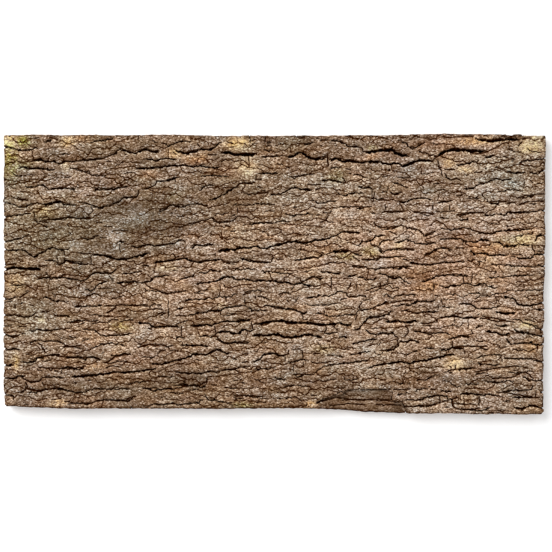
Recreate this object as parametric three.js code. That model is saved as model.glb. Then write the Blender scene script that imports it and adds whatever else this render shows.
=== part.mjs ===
// A flat slab of cork bark, lying on its sawn back with the bark face up.
// Units are millimetres, +Z points out of the bark, and the fissures run mostly along X.
import * as THREE from 'three';

// Driving dimensions
const HALF_LENGTH = 300; // the slab reaches this far along X, and across it along Y
const HALF_WIDTH = 155;
const PLATE_TOP = 17.6; // mean height of the plates over the back
const SWELL = 1.1; // slow rise and fall of the whole face, with the lengths of its waves
const SWELL_ALONG = 83;
const SWELL_ACROSS = 61;
const SWELL_SLANT = 127;
const DOME = 1.2; // how far the middle of a plate stands over its edges
const LIP_STEP = 0.8; // how far the two lips of a fissure differ in height
const WEB = 1.2; // bark left standing between two fissures
const CROWDING = 0.35; // share of its own width that a fissure keeps off the next one, besides the web
const EDGE_REACH = 4; // a fissure that ends this near the border runs out over it
const EDGE_CROSSING = 0.55; // sine of the flattest angle at which it does
const EDGE_MOUTH = 3; // its mouth is this many gaps long
const SHORTEST = 5; // a fissure left shorter than this is dropped
const FIT = 0.55; // how closely the walls of a fissure follow its route
const CLOSEST = 2.2; // least spacing of the points along a fissure
const TAPER = 4; // length over which a fissure opens from its tip
const PLATE_PITCH = 17; // spacing of the raised points in the plates
const PLATE_CLEAR = 3.2; // their distance from the fissures and from the border
const GAP_VARIES = 0.3; // share by which the width of a fissure varies along it
const DEPTH_BASE = 2.4; // a fissure is this deep, and more the wider it is
const DEPTH_PER_GAP = 1.7;
const DEPTH_VARIES = 0.2;
const DEEPEST = 9;
const SIDE_LEAN = 0.6; // how far the rough sawn side leans in towards the back
const FLAKE_DROP = 5; // how far the flaked place at the bottom edge lies below the face
const FLAKE_START = 44; // where along X it begins, where it has its full depth, and where it ends
const FLAKE_FULL = 74;
const FLAKE_END = 148;
const SAMPLE = 0.8; // walking step along a route
const SLIVER = 1e-6; // least gain that is worth an edge swap
const THIN = 1e-3; // twice the least area of a swapped triangle
const SEED = 41;

// The sawn border, anticlockwise from the lower left corner
const BORDER = `
  -297.5 -143.5  -294 -145.3  -285 -146.2  -268 -147.2  -246 -147.8  -222 -148.6  -182 -148.2  -150 -148.7
  -110 -148.3  -60 -148.9  -18 -148.3  22 -148.2  50 -148.8  77 -150.2  105 -152.4  133 -153.5  162 -154.1
  192 -153.7  222 -154.7  250 -154.3  274 -155  290 -154.6  294.5 -153  296.6 -149.5
  297 -138  296.2 -121  297.2 -101  296.4 -86  297.6 -71  296.2 -62  297.6 -49  298 -34  296.9 -22  297.5 -13
  298.7 2  298.4 21  299.2 44  298.4 66  299.2 94  298.6 117  300 135  299.3 148  297.8 152
  293 153.2  277 152.7  273 154.9  262 154.4  238 155  211 154.6  180 155  150 154.2  120 153.3  90 153.7
  60 153  30 153.4  0 152.6  -30 153  -60 152.5  -92 153.4  -122 153.8  -160 153.3  -200 154  -238 153.4
  -270 154.1  -290 153.5  -297 152.4  -299 149.6
  -299.6 140  -298.9 125  -300 110  -299.2 94  -300 81  -299.1 63  -300 46  -299.3 29  -299.8 15  -298.7 8
  -299.8 -1  -299.1 -15  -300 -31  -299.2 -50  -300 -69  -299.1 -86  -299.9 -100  -299.1 -116  -299.7 -131
  -299.1 -139`;

// The fissures, as read from the face: the width of the gap, then the points of its route.
// A row that starts with + carries on the route above it.
const FISSURES = `
  2 -299 142 -290 139.5 -280 138 -270 138.5 -262 140
  2.5 -270 126 -259 127.5 -254 125 -245 126 -239 123 -232 126 -226 125 -217 127.5 -207 127 -189 129
  2.5 -287 117.5 -280 119.5 -270 117.5 -262 118 -255 116.5 -243 116
  2 -295 114.5 -290 112.5 -287 110 -279 109.5
  1.6 -228 118.5 -220 117 -214 114 -207 114.5 -203 110 -195 109.5 -183 110.5
  2.2 -279 97.5 -270 96.5 -262 99 -256 98.5 -250 94 -240 95.5 -230 95 -219 95.5
  2.2 -203 98 -199 95 -191 96 -187 94.5 -180 95 -172 97.5 -160 98
  1.4 -290 86 -284 84 -272 82.5
  1.8 -299 80 -291 78.5 -286 75.5 -280 74.5 -275 75.5 -270 79 -262 79.5
  2.4 -260 77.5 -252 78.5 -244 80.5 -238 81 -234 78.5 -227 77 -219 76.5
  2.2 -218 79.5 -210 79 -205 76.5 -199 74.5 -193 74 -188 76 -184 76
  2 -183 79 -175 79.5 -168 84.5 -160 86 -153 86.5 -152 90 -147 91
  2 -299 64 -290 65 -283 66 -275 67.5 -269 67
  2 -266 61 -261 59.5
  2 -250 60 -243 61.5 -232 63 -226 63.5 -219 62 -214 63 -208 61.5 -202 63.5
  1.6 -261 55.5 -255 53.5 -249 53
  1.8 -239 133.5 -232 133 -226 133
  1.8 -272 151 -265 150.5 -258 152
  2 -258 147 -252 148 -245 149
  1.5 -207 147 -197 148 -190 149.5 -176 151.5
  2 -187 133 -180 133.5 -177 136 -172 136
  1.2 -185 121 -177 121 -171 123.5 -164 125
  2.4 -172 140 -165 137.5 -160 135.5 -154 134.5 -146 139 -141 139 -136 136.5 -132 136 -127 137.5
  1.2 -140 148 -127 147
  1.8 -125 145 -121 145 -119 142.5 -114 144.5 -110 146.5 -103 148.5 -90 147
  2.5 -114 139.5 -108 136.5 -98 134.5 -90 136.5 -80 138.5 -71 138.5 -65 142.5 -62 146 -56 146.5
  2 -148 126 -142 128 -137 127.5 -133 125 -128 127.5 -122 128.5 -114 127 -107 126.5
  2.2 -155 116.5 -140 118 -124 119.5 -112 120 -99 121.5 -93 119 -84 120.5 -72 119 -60 119.5
  2 -133 102.5 -129 104.5 -122 104 -114 106 -110 108.5 -103 108.5
  1.6 -84 109 -77 109.5 -68 110 -62 109 -50 109.5
  2 -149 94.5 -142 95 -138 97.5 -134 97.5
  1.2 -172 112 -164 112.5 -156 113
  1.6 -131 70 -121 72 -118 77 -114 78 -110 76 -100 76 -93 78 -85 78 -72 76
  1.5 -89 91 -82 92.5 -79 96.5 -75 99.5 -70 99.5 -64 97.5
  1.2 -100 86 -90 88
  1.8 -76 81.5 -66 85.5 -57 88.5 -50 93 -45 95.5 -39 96.5
  1.2 -85 67 -81 70.5 -77.5 75
  1.3 -97 54 -91 56 -85 58.5 -78 60
  1.4 -119 67.5 -110 68.5
  1.5 -75 63 -70 63.5 -66 59 -62 57 -50 59
  3.8 -60 134.5 -52 135.5 -46 133 -34 132.5 -20 132.5
  2 -18 130.5 -9 131 -3 131.5 7 132
  3 11 130.5 20 132 24 135 31 135 36 131 40 128 46 127.5 51 129.5 58 131
  3.2 60 127 68 128.5 75 126 86 126 96 124 108 125.5 120 123 127 122 131 123.5 136 123.5 141 120.5
  + 146 122 153 125 162 126.5 176 126
  1.8 -14 137.5 -7 137 0 138.5
  1.8 -29 153 -28 147 -27 143.5
  1.5 -52 141 -46 142
  2 30 145 36 144.5 44 146.5
  2 -10 145.5 -4 146
  1.6 2 146 8 145.5
  2 -21 110.5 -17 112 -10 112.5 -3 112 5 113.5
  1.8 -38 101 -30 101.5 -25 100.5 -22 104.5
  1.6 10 120 14 119 20 119
  1.8 12 108 18 108.5 23 107 27 109 34 110.5 36 112 43 112
  2 50 104.5 55 103.5 60 104.5 65 103.5 72 102 78 102.5
  2.4 -7 88 -1 88.5 6 90 12 92.5 17 95 22 96.5 28 94.5 42 93.5
  1.6 -36 90.5 -26 88.5
  1.6 -20 93 -9 93.5
  1.4 -58 77.5 -51 79
  1.4 -48 77 -41 80.5
  1.5 -30 79 -25 77.5 -20 78.5 -12 77.5 -7 79 0 78.5
  1.6 5 76.5 11 77.5 16 78
  1.6 18 75 27 75.5
  1.5 38 83 44 81 49 79 55 80 60 82 70 81
  1.6 10 67 20 66 28 66.5 35 67.5 39 66.5 45 65
  1.6 -50 65 -42 67.5
  2 -30 56 -22 56.5 -14 58 -6 57 3 58 10 59.5 20 59.5
  2 60 116.5 64 118 75 118
  1.8 60 149 68 149.5 73 146.5 79 144.5 82 141.5 90 141 96 141
  3.8 97 136 104 135.5 112 137.5 121 138.5 130 138.5 135 135 139 133 146 132.5 150 131
  2 137 147.5 145 146.5 149 142 153 140.5 157 141.5 160 144.5 166 146.5
  1.2 170 146 176 145 182 143
  1.8 86 110.5 94 110 98 108.5 102 107 108 107.5
  1.6 121 116.5 130 116
  1.4 132 109 140 108 152 108
  1.2 160 111 178 112.5
  1.8 91 98 100 97.5 110 96.5
  1.7 65 94.5 70 91.5 73 88.5 78 87.5 84 89.5 89 91 101 91.5
  1.4 113 97 120 98
  1.5 128 102 133 101.5 138 100.5 143 99.5 147 96 151 95.5
  1.5 104 83.5 112 84.5 119 84 124 82.5
  1.6 128 89 132 88 136 90 142 91
  2 135 81 146 80.5 153 84.5 160 84.5 167 85 175 82.5
  1.8 64 72.5 71 75 77 75.5 83 76
  1.8 87 74.5 92 74 101 73.5
  1.5 118 77.5 122 76 128 76
  1.6 123 69.5 142 69.5
  1.4 104 70.5 108 70 113 67 119 68
  1.8 155 67.5 163 67 170 66 178 66.5
  1.3 147 63 155 63
  1.8 110 54 115 53.5 119 51.5 131 52 136 55 141 54
  1.6 171 103.5 176 101 182 102.5 186 103.5
  1.8 178 79.5 190 81 200 82
  1.2 62 60.5 70 60.5 75 58.5
  1.2 80 57.5 88 58
  3.8 178 129.5 184 134.5 191 138 199 139 210 138 220 137 236 137.5
  3.4 222 149.5 232 149 241 148.5 250 149.5 258 150.5 268 150 273 147
  2.6 229 130 236 129.5 241 131.5 245 131.5
  2.6 200 120.5 208 121.5 214 123 219 125.5 225 124.5
  2.4 260 126 267 126.5
  2 270 123.5 275 125.5 283 126.5 291 127.5 299 129.5
  3 180 117.5 185 117
  2 187 116 188 111 191 108 196 104
  1.8 207 112 212 110 218 111
  1.5 219 108 223 103.5
  2.3 208 94.5 220 96 223 99.5 229 101 235 102.5 239 105.5 246 106 252 104.5 264 106.5
  2 231 117.5 236 117.5
  1.8 242 117.5 249 120
  2.2 255 114.5 262 114.5 267 112.5 274 112.5 278 114
  2.2 281 112 285 113 290 111.5 294 114.5 299 116
  1.2 275 109 276.5 100 276 96
  1.8 246 91.5 253 92.5 264 94.5 269 93.5 275 93.5 279 90.5
  1.7 269 84 275 85 279 87 285 88 293 88
  1.4 210 84 220 84.5 228 85
  1.8 235 79.5 243 80 251 80
  1.4 254 78.5 260 79.5 267 79.5
  1.4 278 77.5 284 79 292 78.5
  1.3 226 78 234 76
  1.8 200 67 205 65 212 66.5 218 68.5 228 69
  2 230 66.5 240 65.5 245 68 255 66.5 258 69 272 69 288 70 293 72 299 71
  1.3 180 64.5 190 62.5 196 63
  2.2 203 61 214 60.5 214 56
  1.3 235 55.5 240 57 247 55.5 253 56.5
  1.5 286 61 291 63
  1.7 -299 36 -292 38 -283 40 -279 42
  2.2 -296 27.5 -282 27.5 -276 25 -268 20 -262 22.5 -255 25.5 -247.5 30 -241 28 -234 27.5 -229 29 -225 32
  2 -256 15.5 -246.5 15.5 -244 14
  2.2 -243 9.5 -234.5 13 -232.5 16.5 -228 14.5 -221 14 -210 12.5 -205 11.5
  4.2 -299 6 -291 8 -282 7 -268 6.5 -262 6.5 -258 5
  2 -266 -6 -257 -3.5 -249 -3 -240 -3.5 -225 -5 -220 -6.5 -215.5 -7 -211 -5 -206 -3.5 -203 0.5 -199 2
  + -194 2.5 -186 2 -180 3.5 -177 5 -176.5 9.5
  1.8 -213 -16 -208 -16 -204.5 -18.5 -201 -16.5 -197.5 -11.5 -193 -9 -188 -7 -182 -5.5
  1.5 -294 -11.5 -288 -11 -277.5 -11 -270 -12
  1.6 -280 -19 -276 -18.5 -269 -19
  1.8 -299 -27 -291.5 -26.5 -287.5 -24.5 -281 -23
  1.6 -285 -33.5 -279 -31
  1.6 -274 -33.5 -269 -34.5 -261 -34.5
  1.7 -260 -27.5 -256 -25 -249.5 -26 -245 -28.5 -232 -30 -227 -31.5
  1.8 -224 -36.5 -217.5 -35.5 -205 -34 -197.5 -35 -188 -33
  2 -261 -41.5 -251 -41
  1.8 -297 -43.5 -290 -45.5 -277.5 -47.5 -270 -46 -265.5 -44
  1.9 -248 -46.5 -241 -47 -238 -45.5 -232 -45.5 -226 -46.5
  1.6 -207.5 -44.5 -197.5 -44 -191 -46 -187 -43.5
  2 -231 -53 -225 -51.5 -214 -51 -209 -48
  3 -204 22 -197 21.5 -189 21 -181 19 -175 17 -168 17 -160 18.5 -154 19.5 -150 22 -147 21 -143 24 -135 24
  1.4 -217 44 -214 41.5 -210 40 -205 39.5 -197 42
  1.2 -229.5 48.5 -227.5 45.5 -224 43.5
  1.2 -217 25 -210 25.5
  1.5 -177 35 -170 36.5 -164 37.5
  2 -161 32 -150.5 30.5 -147 32.5 -138 33 -132 32 -126 32.5 -112 34 -107 38 -102 38 -97 34
  2.3 -95.5 29.5 -91.5 30.5 -89 33 -86 33.5 -77.5 32 -70 34 -64 32.5
  2.6 -136 13 -126 14.5 -119 14.5 -111 16.5 -106.5 17.5 -101.5 17.5 -91.5 14.5 -85 14 -70 16.5 -58 17
  2.4 -149 10.5 -139.5 9.5
  1.7 -172.5 1 -165 2 -156.5 2.5 -147.5 4
  2 -177.5 -9 -165 -8.5 -156.5 -7.5 -144 -8.5 -135 -4.5 -133 -2.5 -121.5 -0.5 -116 0
  1.7 -148 -14 -141.5 -17.5 -134 -18 -128 -20 -120 -21.5 -111.5 -19 -100 -17.5
  1.5 -93 -21 -81 -18.5 -76 -16.5 -71.5 -16.5
  1.9 -103 -29 -84 -27 -79 -27.5 -74 -26 -66.5 -26 -60 -24 -55 -24.5 -48 -22 -40 -20
  1.8 -107.5 -4.5 -101.5 -3.5 -86.5 -0.5
  2 -86 2.5 -75 2 -72.5 4.5 -66.5 4.5 -58 2
  2.4 -89 -10 -75 -9 -65 -7.5 -60.5 -5.5 -58.5 -3.5 -53.5 -2 -48.5 -2.5 -44 -5.5 -40 -6.5 -34.5 -5
  + -23.5 -7 -8.5 -5.5 1.5 -7.5 4.5 -9 10.5 -8.5 21.5 -10.5 29.5 -9.5 39 -13.5 47 -13.5
  1.5 -116.5 3 -112.5 4.5 -103 5.5
  1.6 -171 -35.5 -166.5 -33.5 -161 -34.5 -156 -33 -148 -32.5 -140 -35 -135 -32.5 -122 -33
  1.5 -181.5 -27 -176.5 -26.5 -169 -22.5 -164 -23.5
  1.8 -131 -44.5 -125 -43.5 -121 -43.5
  1.2 -119 -25 -119.5 -35 -118 -38.5 -118.5 -48
  1.6 -112.5 -38 -109 -39 -100 -35
  2.2 -98 -46.5 -95 -44.5 -84 -42 -76 -41.5 -73 -40 -60.5 -40.5 -56 -37 -50 -35.5 -34 -33
  1.8 -105 -54 -96.5 -51
  1.2 -131.5 44 -121.5 45
  1.4 -76.5 42.5 -67.5 44.5
  1.4 -110 50 -102 50
  2.8 -66 25.5 -60.5 26 -58 27.5 -45 27.5 -41.5 29 -28.5 30 -23.5 31.5 -19 31 -16.5 29 -9.5 29 -4.5 31
  + 1 33 12 35 15.5 36.5 24.5 37 29.5 35 36.5 35.5 42.5 37.5 50.5 38 59 40 69 44.5 75.5 48 78 47 96.5 46.5
  2.4 -41 17.5 -28.5 16 -25 14.5 -18 14 -3.5 13
  1.8 -57 13 -50 13 -42.5 12
  1.4 -47.5 2.5 -46 5 -42.5 6.5 -35.5 5.5 -31 6.5 -19 5
  1.8 -19 1.5 -14.5 4.5 -11 3 -3.5 4 6 2 9.5 1 17.5 1.5 24.5 4.5
  1.5 27.5 2 33 3 41.5 7.5
  1.9 47 4.5 53 3 60 2.5 64 1 70 2 77 1
  1.7 31 -7 36.5 -4.5 40.5 -2 44 -2.5 49.5 -5 57 -2
  1.8 -36 -18.5 -24 -18.5 -12.5 -17.5
  2.2 -21.5 -24.5 -17.5 -23.5 -11 -24.5 -6 -29
  1.5 0 -24 7 -24.5 11 -25.5
  1.4 6 -20 15.5 -19 19 -20
  2.2 -14 -35 -5 -34.5 1.5 -36 13 -37.5 21 -38.5 26 -41 30.5 -43 34 -41.5 39 -41
  1.8 -33 -36.5 -27 -37 -25.5 -40 -20 -39 -13 -39.5 -5 -40
  2 41 -43 48 -42 54 -44 60 -45.5 70 -44.5 80 -44.5 91 -44
  1.4 -60 -44 -55.5 -45.5 -49 -44 -42.5 -43
  1.7 30 -31 36 -32 39 -34 48 -33 57 -33.5 66 -31.5 72 -32
  1.8 31 -25.5 40 -25.5 50 -23.5 60 -23 66 -21 70 -19 76 -19 82 -24.5 90 -23.5 100 -24.5 104 -22
  1.4 -18 47 -11 46.5 -8 44 -2.5 43.5
  1.9 20 15.5 28 16 35 18 42 19.5 49 19 52 21.5 58 22.5
  3.4 61 24 66 25.5 75 26 83 26
  1.8 85 23.5 90 22.5 98 20.5
  1.2 102 47 109 47
  1.9 86 33.5 89 31.5 93 32 96 37 99 36 103 36.5 110 40 112 42.5 117 44 125 45.5
  1.4 106 34 112 31 115.5 32.5 118 36.5 122 38 130 39
  1.9 132 36 137 37 145 38.5 150 36.5 155 35 172 35.5 180 35
  2 113 28 120 24 123 27 131 28 140 28.5 154 26.5
  1.9 95 15 100 16.5 115 16.5 118 19 123 19 138 19 141 17
  1.9 83 10 87.5 9 92.5 7.5 99 7 104 8.5
  1.9 107 5 112.5 5 120 8 126 8 133 7.5 147.5 8 152.5 10
  2.2 147 14 152.5 13.5 166.5 10.5 172 11.5 185 13 197.5 13.5 211 15
  1.6 143 50.5 151.5 50.5 155 49 160 49 162.5 45.5 166 43.5 169 45 180 49
  1.7 163 22 171.5 22.5 175 26 185 30 191 29.5 193 27 200 26
  2.2 79 -2.5 83 -1.5 92.5 0
  2 88 -4 93 -3 97.5 -4.5 100 -6.5 106 -6.5 111 -5 115 -5.5
  2 113 0.5 124 -0.5 126 -3 140 -3 144 -5.5 148 -9 155 -9
  1.8 90 -11 98 -11
  1.6 102 -19.5 107.5 -19 113 -17 120 -11.5 124 -10.5 126.5 -12.5 131 -14.5 141.5 -13
  1.8 116.5 -21.5 120 -23.5 124 -21.5 126.5 -24 131 -25 141.5 -21.5 159.5 -23
  1.3 96.5 -29 109 -27.5
  2.2 92.5 -40 104 -38.5 109 -37 111 -35 121.5 -32 126.5 -30
  2 127.5 -33 131 -34.5 143 -32.5 147.5 -34 152.5 -32 156.5 -30 171.5 -30 176 -28 178 -24.5
  2.2 84 -62.5 89 -61.5 93 -60 96 -57 97.5 -53.5 101.5 -49 106.5 -47 113 -47 126.5 -43 129 -40.5 134 -40
  1.4 137.5 -40.5 147.5 -38.5 151 -39
  2 154 -44.5 159 -44 162 -41.5 168 -41.5 180 -42 183 -41
  3 121.5 -51.5 131 -52 138 -51.5 143 -53 155 -51.5 161 -52.5
  2 160 -7 165 -7.5 170 -5.5 176 -4.5 178 -2 186 -1 196 0 217 -1.5
  1.3 175.5 -8 175.5 -22
  1.9 180 -12 190 -13.5 195 -11.5 203 -12.5 209 -9 221.5 -12 226.5 -10.5 235 -11.5 244 -15 249 -11.5
  1.6 180 51.5 188 51.5 196 50.5 207 52 220 50
  1.9 221 48 226 46 240 45 245 48 259 49.5 277 50 286 52
  2.2 181 39 197 40 206 39.5 208 37.5 224 36.5 229 38.5 240.5 37
  2.2 242 34.5 250 35.5 254 30.5 260 31.5 266 32.5 269 35 273 33.5 284.5 32.5
  2 287 35.5 289 39 291 42.5 299 45
  2.2 212 27 217 26.5 219 23 235 23.5 237.5 21.5 260 21.5
  2.2 261 19 268 19 271 17.5 282 20 286 20.5 288 23 299 22.5
  1.8 223 15 227 14 233 15
  1.9 237 13.5 240.5 11.5 258 11 265 9.5 288 9.5 291 11 299 10.5
  1.8 210 7.5 220 8
  2 235 -2.5 242 -2 251 -2.5 271 -1 282.5 0 289 -1.5
  1.5 219 0.5 227 1
  1.6 187 -20.5 195 -21 201 -21.5 204 -24 209 -24 216 -20.5 225 -20.5 229 -22.5 237.5 -24 240 -21.5
  + 253 -20.5 257 -18 278 -17.5 299 -17.5
  2.4 251 -24 259 -25 263 -26 267 -28.5 268 -32 271 -34 282.5 -34.5 287.5 -33.5 292 -31.5 299 -30
  2.4 286 -38.5 292 -39 299 -38
  1.8 186 -32 189 -36.5 195 -36.5 201 -35.5
  2.2 202 -32.5 216 -32.5 221 -34.5 225 -37 239 -37 243 -35 251 -34
  2.6 241 -41 247 -41.5 252 -42.5 269.5 -42.5
  2.8 180 -49 190 -47 202.5 -46.5 208 -48 222 -47.5 229 -46
  2 231 -49 243 -50
  2 260 -49 271 -50 275 -53.5 281 -54.5 286 -56.5 293 -62
  1.4 184 -26.5 191 -27.5 200 -28.5
  1.6 261 42.5 268 43 280 44.5 289 46.5
  2 241 2.5 247 4
  1.3 273 -26 277.5 -25 282.5 -27.5 291 -26.5
  1.3 -298 -57 -292 -56.5 -288 -54
  2 -274 -61 -268 -62 -262 -60.5 -247 -62 -244 -60.5 -234 -60.5
  2.2 -299 -66 -294 -68 -291 -69 -283 -68.5
  1.8 -282 -65.5 -276 -64.5
  1.3 -230 -68 -224 -69.5 -218 -70
  1.9 -216 -61 -200 -61 -193 -66.5 -184 -67 -175 -66.5 -160 -65.5 -156 -67
  1.8 -275 -73.5 -270 -74 -265 -71.5 -261 -74.5
  2 -259 -75 -248 -73.5 -241 -74.5 -236 -76 -231 -76
  1.2 -258.5 -77 -258 -80 -254 -88
  2.2 -255 -88 -249 -89 -235 -88.5
  1.7 -236 -83 -233 -80 -221 -79.5 -217 -81.5 -210 -81.5
  1.4 -218 -74 -208 -71.5 -203 -71
  1.9 -205 -82 -196 -79 -193 -76.5 -187 -76.5 -180 -75 -177 -77.5 -173 -76.5 -169 -78.5 -163 -80
  2.2 -299 -81.5 -294 -83.5 -290 -82 -280 -82
  2.6 -282 -96 -270 -97 -266 -95 -263 -92 -254 -90.5
  2.4 -235 -91.5 -224 -92 -219 -90.5 -214 -93 -210 -94 -207 -91.5 -200 -92 -196 -94.5 -193 -94.5
  1.3 -195 -89 -190 -86.5 -186 -86.5
  2 -184 -89 -176 -89.5 -169 -88 -158.5 -89
  2.2 -299 -99 -295 -101 -292 -100 -288 -101
  2.2 -244 -107 -236.5 -107.5
  2.2 -240 -104 -230 -102.5 -220 -105 -209 -103.5
  1.4 -267 -102 -264 -105.5 -259 -106.5 -252 -106
  1.3 -280 -104.5 -269 -104.5
  2.6 -228 -113 -219 -112 -210 -112.5 -190 -110.5 -184 -110 -178 -108 -170 -108.5 -162 -107.5 -155 -107.5
  + -140 -105 -135 -105 -132 -103
  1.8 -258 -114 -248 -113.5 -236 -114.5 -231 -113.5
  2 -299 -113.5 -294 -115 -288 -114.5 -284 -112 -281 -113 -274 -111
  2 -275 -116.5 -272 -119.5 -267 -120 -259 -117.5
  1.3 -227 -121.5 -222 -119 -217 -119
  1.4 -208 -117 -202 -118
  1.8 -285 -131 -280 -129.5 -276.5 -127
  1.8 -275 -128.5 -272 -130 -265 -130.5 -259 -129.5 -255 -127 -250 -126.5
  2.2 -248 -126 -241 -126 -235 -126.5 -226 -129 -215 -131 -208 -130.5
  1.8 -206 -128 -199 -126.5 -178 -126 -165 -126.5 -158 -126.5
  1.5 -296 -133 -292 -133 -289.5 -135 -288.5 -142
  1.4 -280 -142.5 -275 -143 -271 -144.5
  1.3 -262 -142.5 -255 -142
  1.8 -232 -142.5 -226 -143 -220 -142 -214 -142 -210 -143 -199 -140.5
  2 -199 -138 -193 -139 -187 -138 -181 -138 -173 -139.5 -163 -139.5 -160 -137.5 -153 -136
  1.4 -163 -141 -161 -144 -158 -148.5
  2.5 -154 -52 -151 -54 -140 -54 -137 -58 -127 -58.5 -120 -57 -115 -58 -104 -57
  2.5 -96 -57 -90 -57 -84 -55.5 -76 -54.5 -70 -56.5 -66 -54 -59 -52.5 -50 -52 -42 -50.5 -25 -49.5
  1.8 -113 -68 -109 -69.5 -99 -69.5
  1.3 -129 -73.5 -119 -70.5
  1.3 -98 -67.5 -89 -65
  1.8 -86 -67.5 -75 -67.5 -70 -69 -66 -67
  2.5 -66 -64.5 -57 -63.5 -52 -63.5 -47 -65 -40 -64.5 -34 -60.5 -31 -62 -27 -62.5 -20 -60
  2.1 -64 -71 -60 -73 -57 -75.5 -53 -76.5 -44 -75 -27 -75.5
  1.8 -144 -80 -138 -79
  1.9 -127 -79 -121 -79.5 -109 -77.5
  2.2 -107 -78.5 -96 -78 -91 -79 -85 -78 -72 -79
  1.5 -154 -77.5 -145.5 -75.5
  1.4 -135 -82.5 -126 -81.5
  1.4 -120 -82 -115 -82.5 -107 -84
  2.6 -140 -99.5 -127 -99 -120 -97 -112 -95.5 -105 -94.5 -94 -89.5 -86 -87.5 -79 -88.5 -73 -87 -69 -84.5
  + -64 -83 -61 -83.5 -58 -85.5 -47 -86
  1.4 -152 -95 -147 -92 -143 -91 -138 -92 -130 -88.5
  1.3 -180 -95 -172 -96.5 -161 -96.5
  2.2 -112 -107 -102 -109 -88 -108.5 -80 -109 -70 -106.5 -65 -108 -62 -108
  1.5 -132 -113.5 -125 -113 -114 -114 -110 -112
  1.5 -165 -119.5 -160 -120 -155 -118 -149 -119 -144 -117.5 -139 -117.5
  2.2 -150 -125.5 -143 -127 -140 -126 -136 -128 -126 -128 -120 -126.5 -110 -126
  2 -110 -123 -101 -121.5 -96 -123 -90 -122 -83 -124.5 -79 -124 -75 -121.5
  1.5 -95 -129 -84 -126.5
  1.6 -118 -131 -113 -130 -110 -131.5 -98 -131.5
  1.2 -130 -138 -125 -136 -118 -135
  2 -138 -144.5 -132 -143.5 -113 -143 -108 -144.5 -103 -144 -84 -142 -82 -139.5 -79 -139
  1.8 -80 -130.5 -77 -134 -73 -138.5 -67 -138.5 -57 -141 -53 -141
  1.2 -74.5 -111 -75 -119
  1.3 -70 -102 -64 -101.5
  2.2 -60 -105.5 -46 -105 -40 -103 -35 -102 -29 -103
  3.2 -24 -54 -16 -54 -9 -52.5 -2 -51.5 8 -51.5 16 -53 36 -53 44 -54 51 -56 57 -56 61 -54 68 -54.5
  + 72 -53.5 78 -55.5 83 -55.5 87 -53
  1.8 -19 -57.5 -10 -56.5
  3 -27 -68 -20 -67 -2 -66 4 -66.5 10 -68.5 18 -69 26 -68 33 -66.5 38 -66.5 47 -68 54 -69.5
  2.3 51 -66 57 -65 63 -65 68 -63.5 72 -64
  1.4 -16 -75.5 -7 -75.5
  1.5 -28 -85 -23 -84.5 -17 -84.5
  2.6 -27 -97 -22 -96 -17 -93.5 -13 -89.5 -9 -87.5 -3 -86.5 1 -88.5 10 -90 16 -87.5
  1.4 -49 -94.5 -39 -92.5
  1.8 16 -83 25 -82
  2 12 -96 16 -97.5 20 -96 30 -94.5 38 -96
  1.8 -27 -106.5 -21 -105 -9 -104.5 2 -101.5
  1.9 -3 -113 2 -114.5 8 -116 14 -116.5
  1.7 16 -110.5 21 -111 25 -112.5 30 -112 33 -110 38 -111 43 -109.5
  1.3 -25 -117 -20 -116.5 -17 -118.5 -9 -119
  1.4 -40 -119.5 -30 -120.5
  1.5 -56 -125 -50 -126 -40 -126
  1.5 7 -124 11 -125 22 -122 28 -123 39 -124
  1.7 -39 -132 -35 -134 -27 -135 -20 -134.5 -11 -135
  1.5 -48 -134.5 -43 -137 -37 -136.5
  1.5 -2 -138 12 -137.5 18 -136 24 -137
  1.5 36 -134 46 -133
  1.5 104 -60.5 113 -58 120 -58
  2.2 98 -61 102 -61.5 104 -64.5 108 -65.5 120 -65 126 -66 130 -64 135 -68.5
  2.4 68 -69 78 -69 84 -70.5
  2.6 84 -77 96 -74 106 -72.5 114 -71
  1.6 110 -76.5 115 -76.5 119 -75
  1.4 75 -82 86 -82
  1.8 55 -89 65 -89.5 70 -90 74 -91.5 79 -90.5
  2.2 81 -88.5 94 -87 98 -85 103 -84.5 110 -85.5
  1.8 112 -88.5 118 -88.5
  2.2 120 -85.5 131 -83.5 133 -80 136 -78.5 138 -74 144 -74.5 149 -73 155 -72.5 163 -76
  2.2 151 -62 156 -63 161 -62.5 166 -64 173 -65.5 186 -64 194 -66.5
  1.6 161 -56 173 -56 178 -54.5
  1.4 142 -88.5 153 -86 163 -83
  2 164 -81.5 170 -81 178 -80.5
  2.6 101 -105 110 -101 116 -100.5 120 -98.5 134 -97.5 140 -96.5 150 -98.5 155 -96.5 175 -92 186 -91
  + 191 -88.5 202 -88.5
  2.2 58 -100.5 67 -100 71 -99 78 -98.5 101 -95 106 -95.5
  1.4 140 -110 149 -108.5
  1.4 125 -112 130 -113.5 134 -112
  1.4 135 -120 148 -120 152 -118
  1.7 154 -117.5 168 -116 173 -113 178 -111 184 -111
  1.4 74 -109 77 -114.5 79 -116.5 85 -117 94 -114
  1.7 152 -129 163 -126.5 172 -126
  2 133 -133 142 -132 150 -131
  2.2 143 -139.5 149 -138.5 156 -139 162 -138 166 -136 176 -134.5 190 -134.5 193 -137.5 196 -138
  + 199 -136 203 -136 209 -140
  2 150 -146 155 -145 161 -146 166 -146.5 172 -145 181 -144.5
  1.4 191 -57 194 -55.5 199 -55.5 204 -58.5 208 -57
  1.9 220 -61 223 -58 226 -57 232 -56.5
  2.6 231 -61 240 -64.5 244 -64 247 -66.5 252 -67.5 257 -66.5 263 -64.5
  2.4 242 -54 247 -56 261 -56.5
  2.6 264 -59 267 -62 279 -64.5 299 -69
  2.3 254 -70 262 -77 274 -76 285 -75 288 -77 293 -77.5 299 -75
  2.2 191 -71 201 -69 204 -67.5 209 -68 214 -69 218 -66.5
  1.5 221 -72 224 -74 229 -74 233 -72
  1.4 181 -77 190 -73
  2.2 181 -83 191 -83.5 197 -81 210 -81.5
  2 214 -79.5 227 -80 234 -83 237 -81 239 -79
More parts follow.
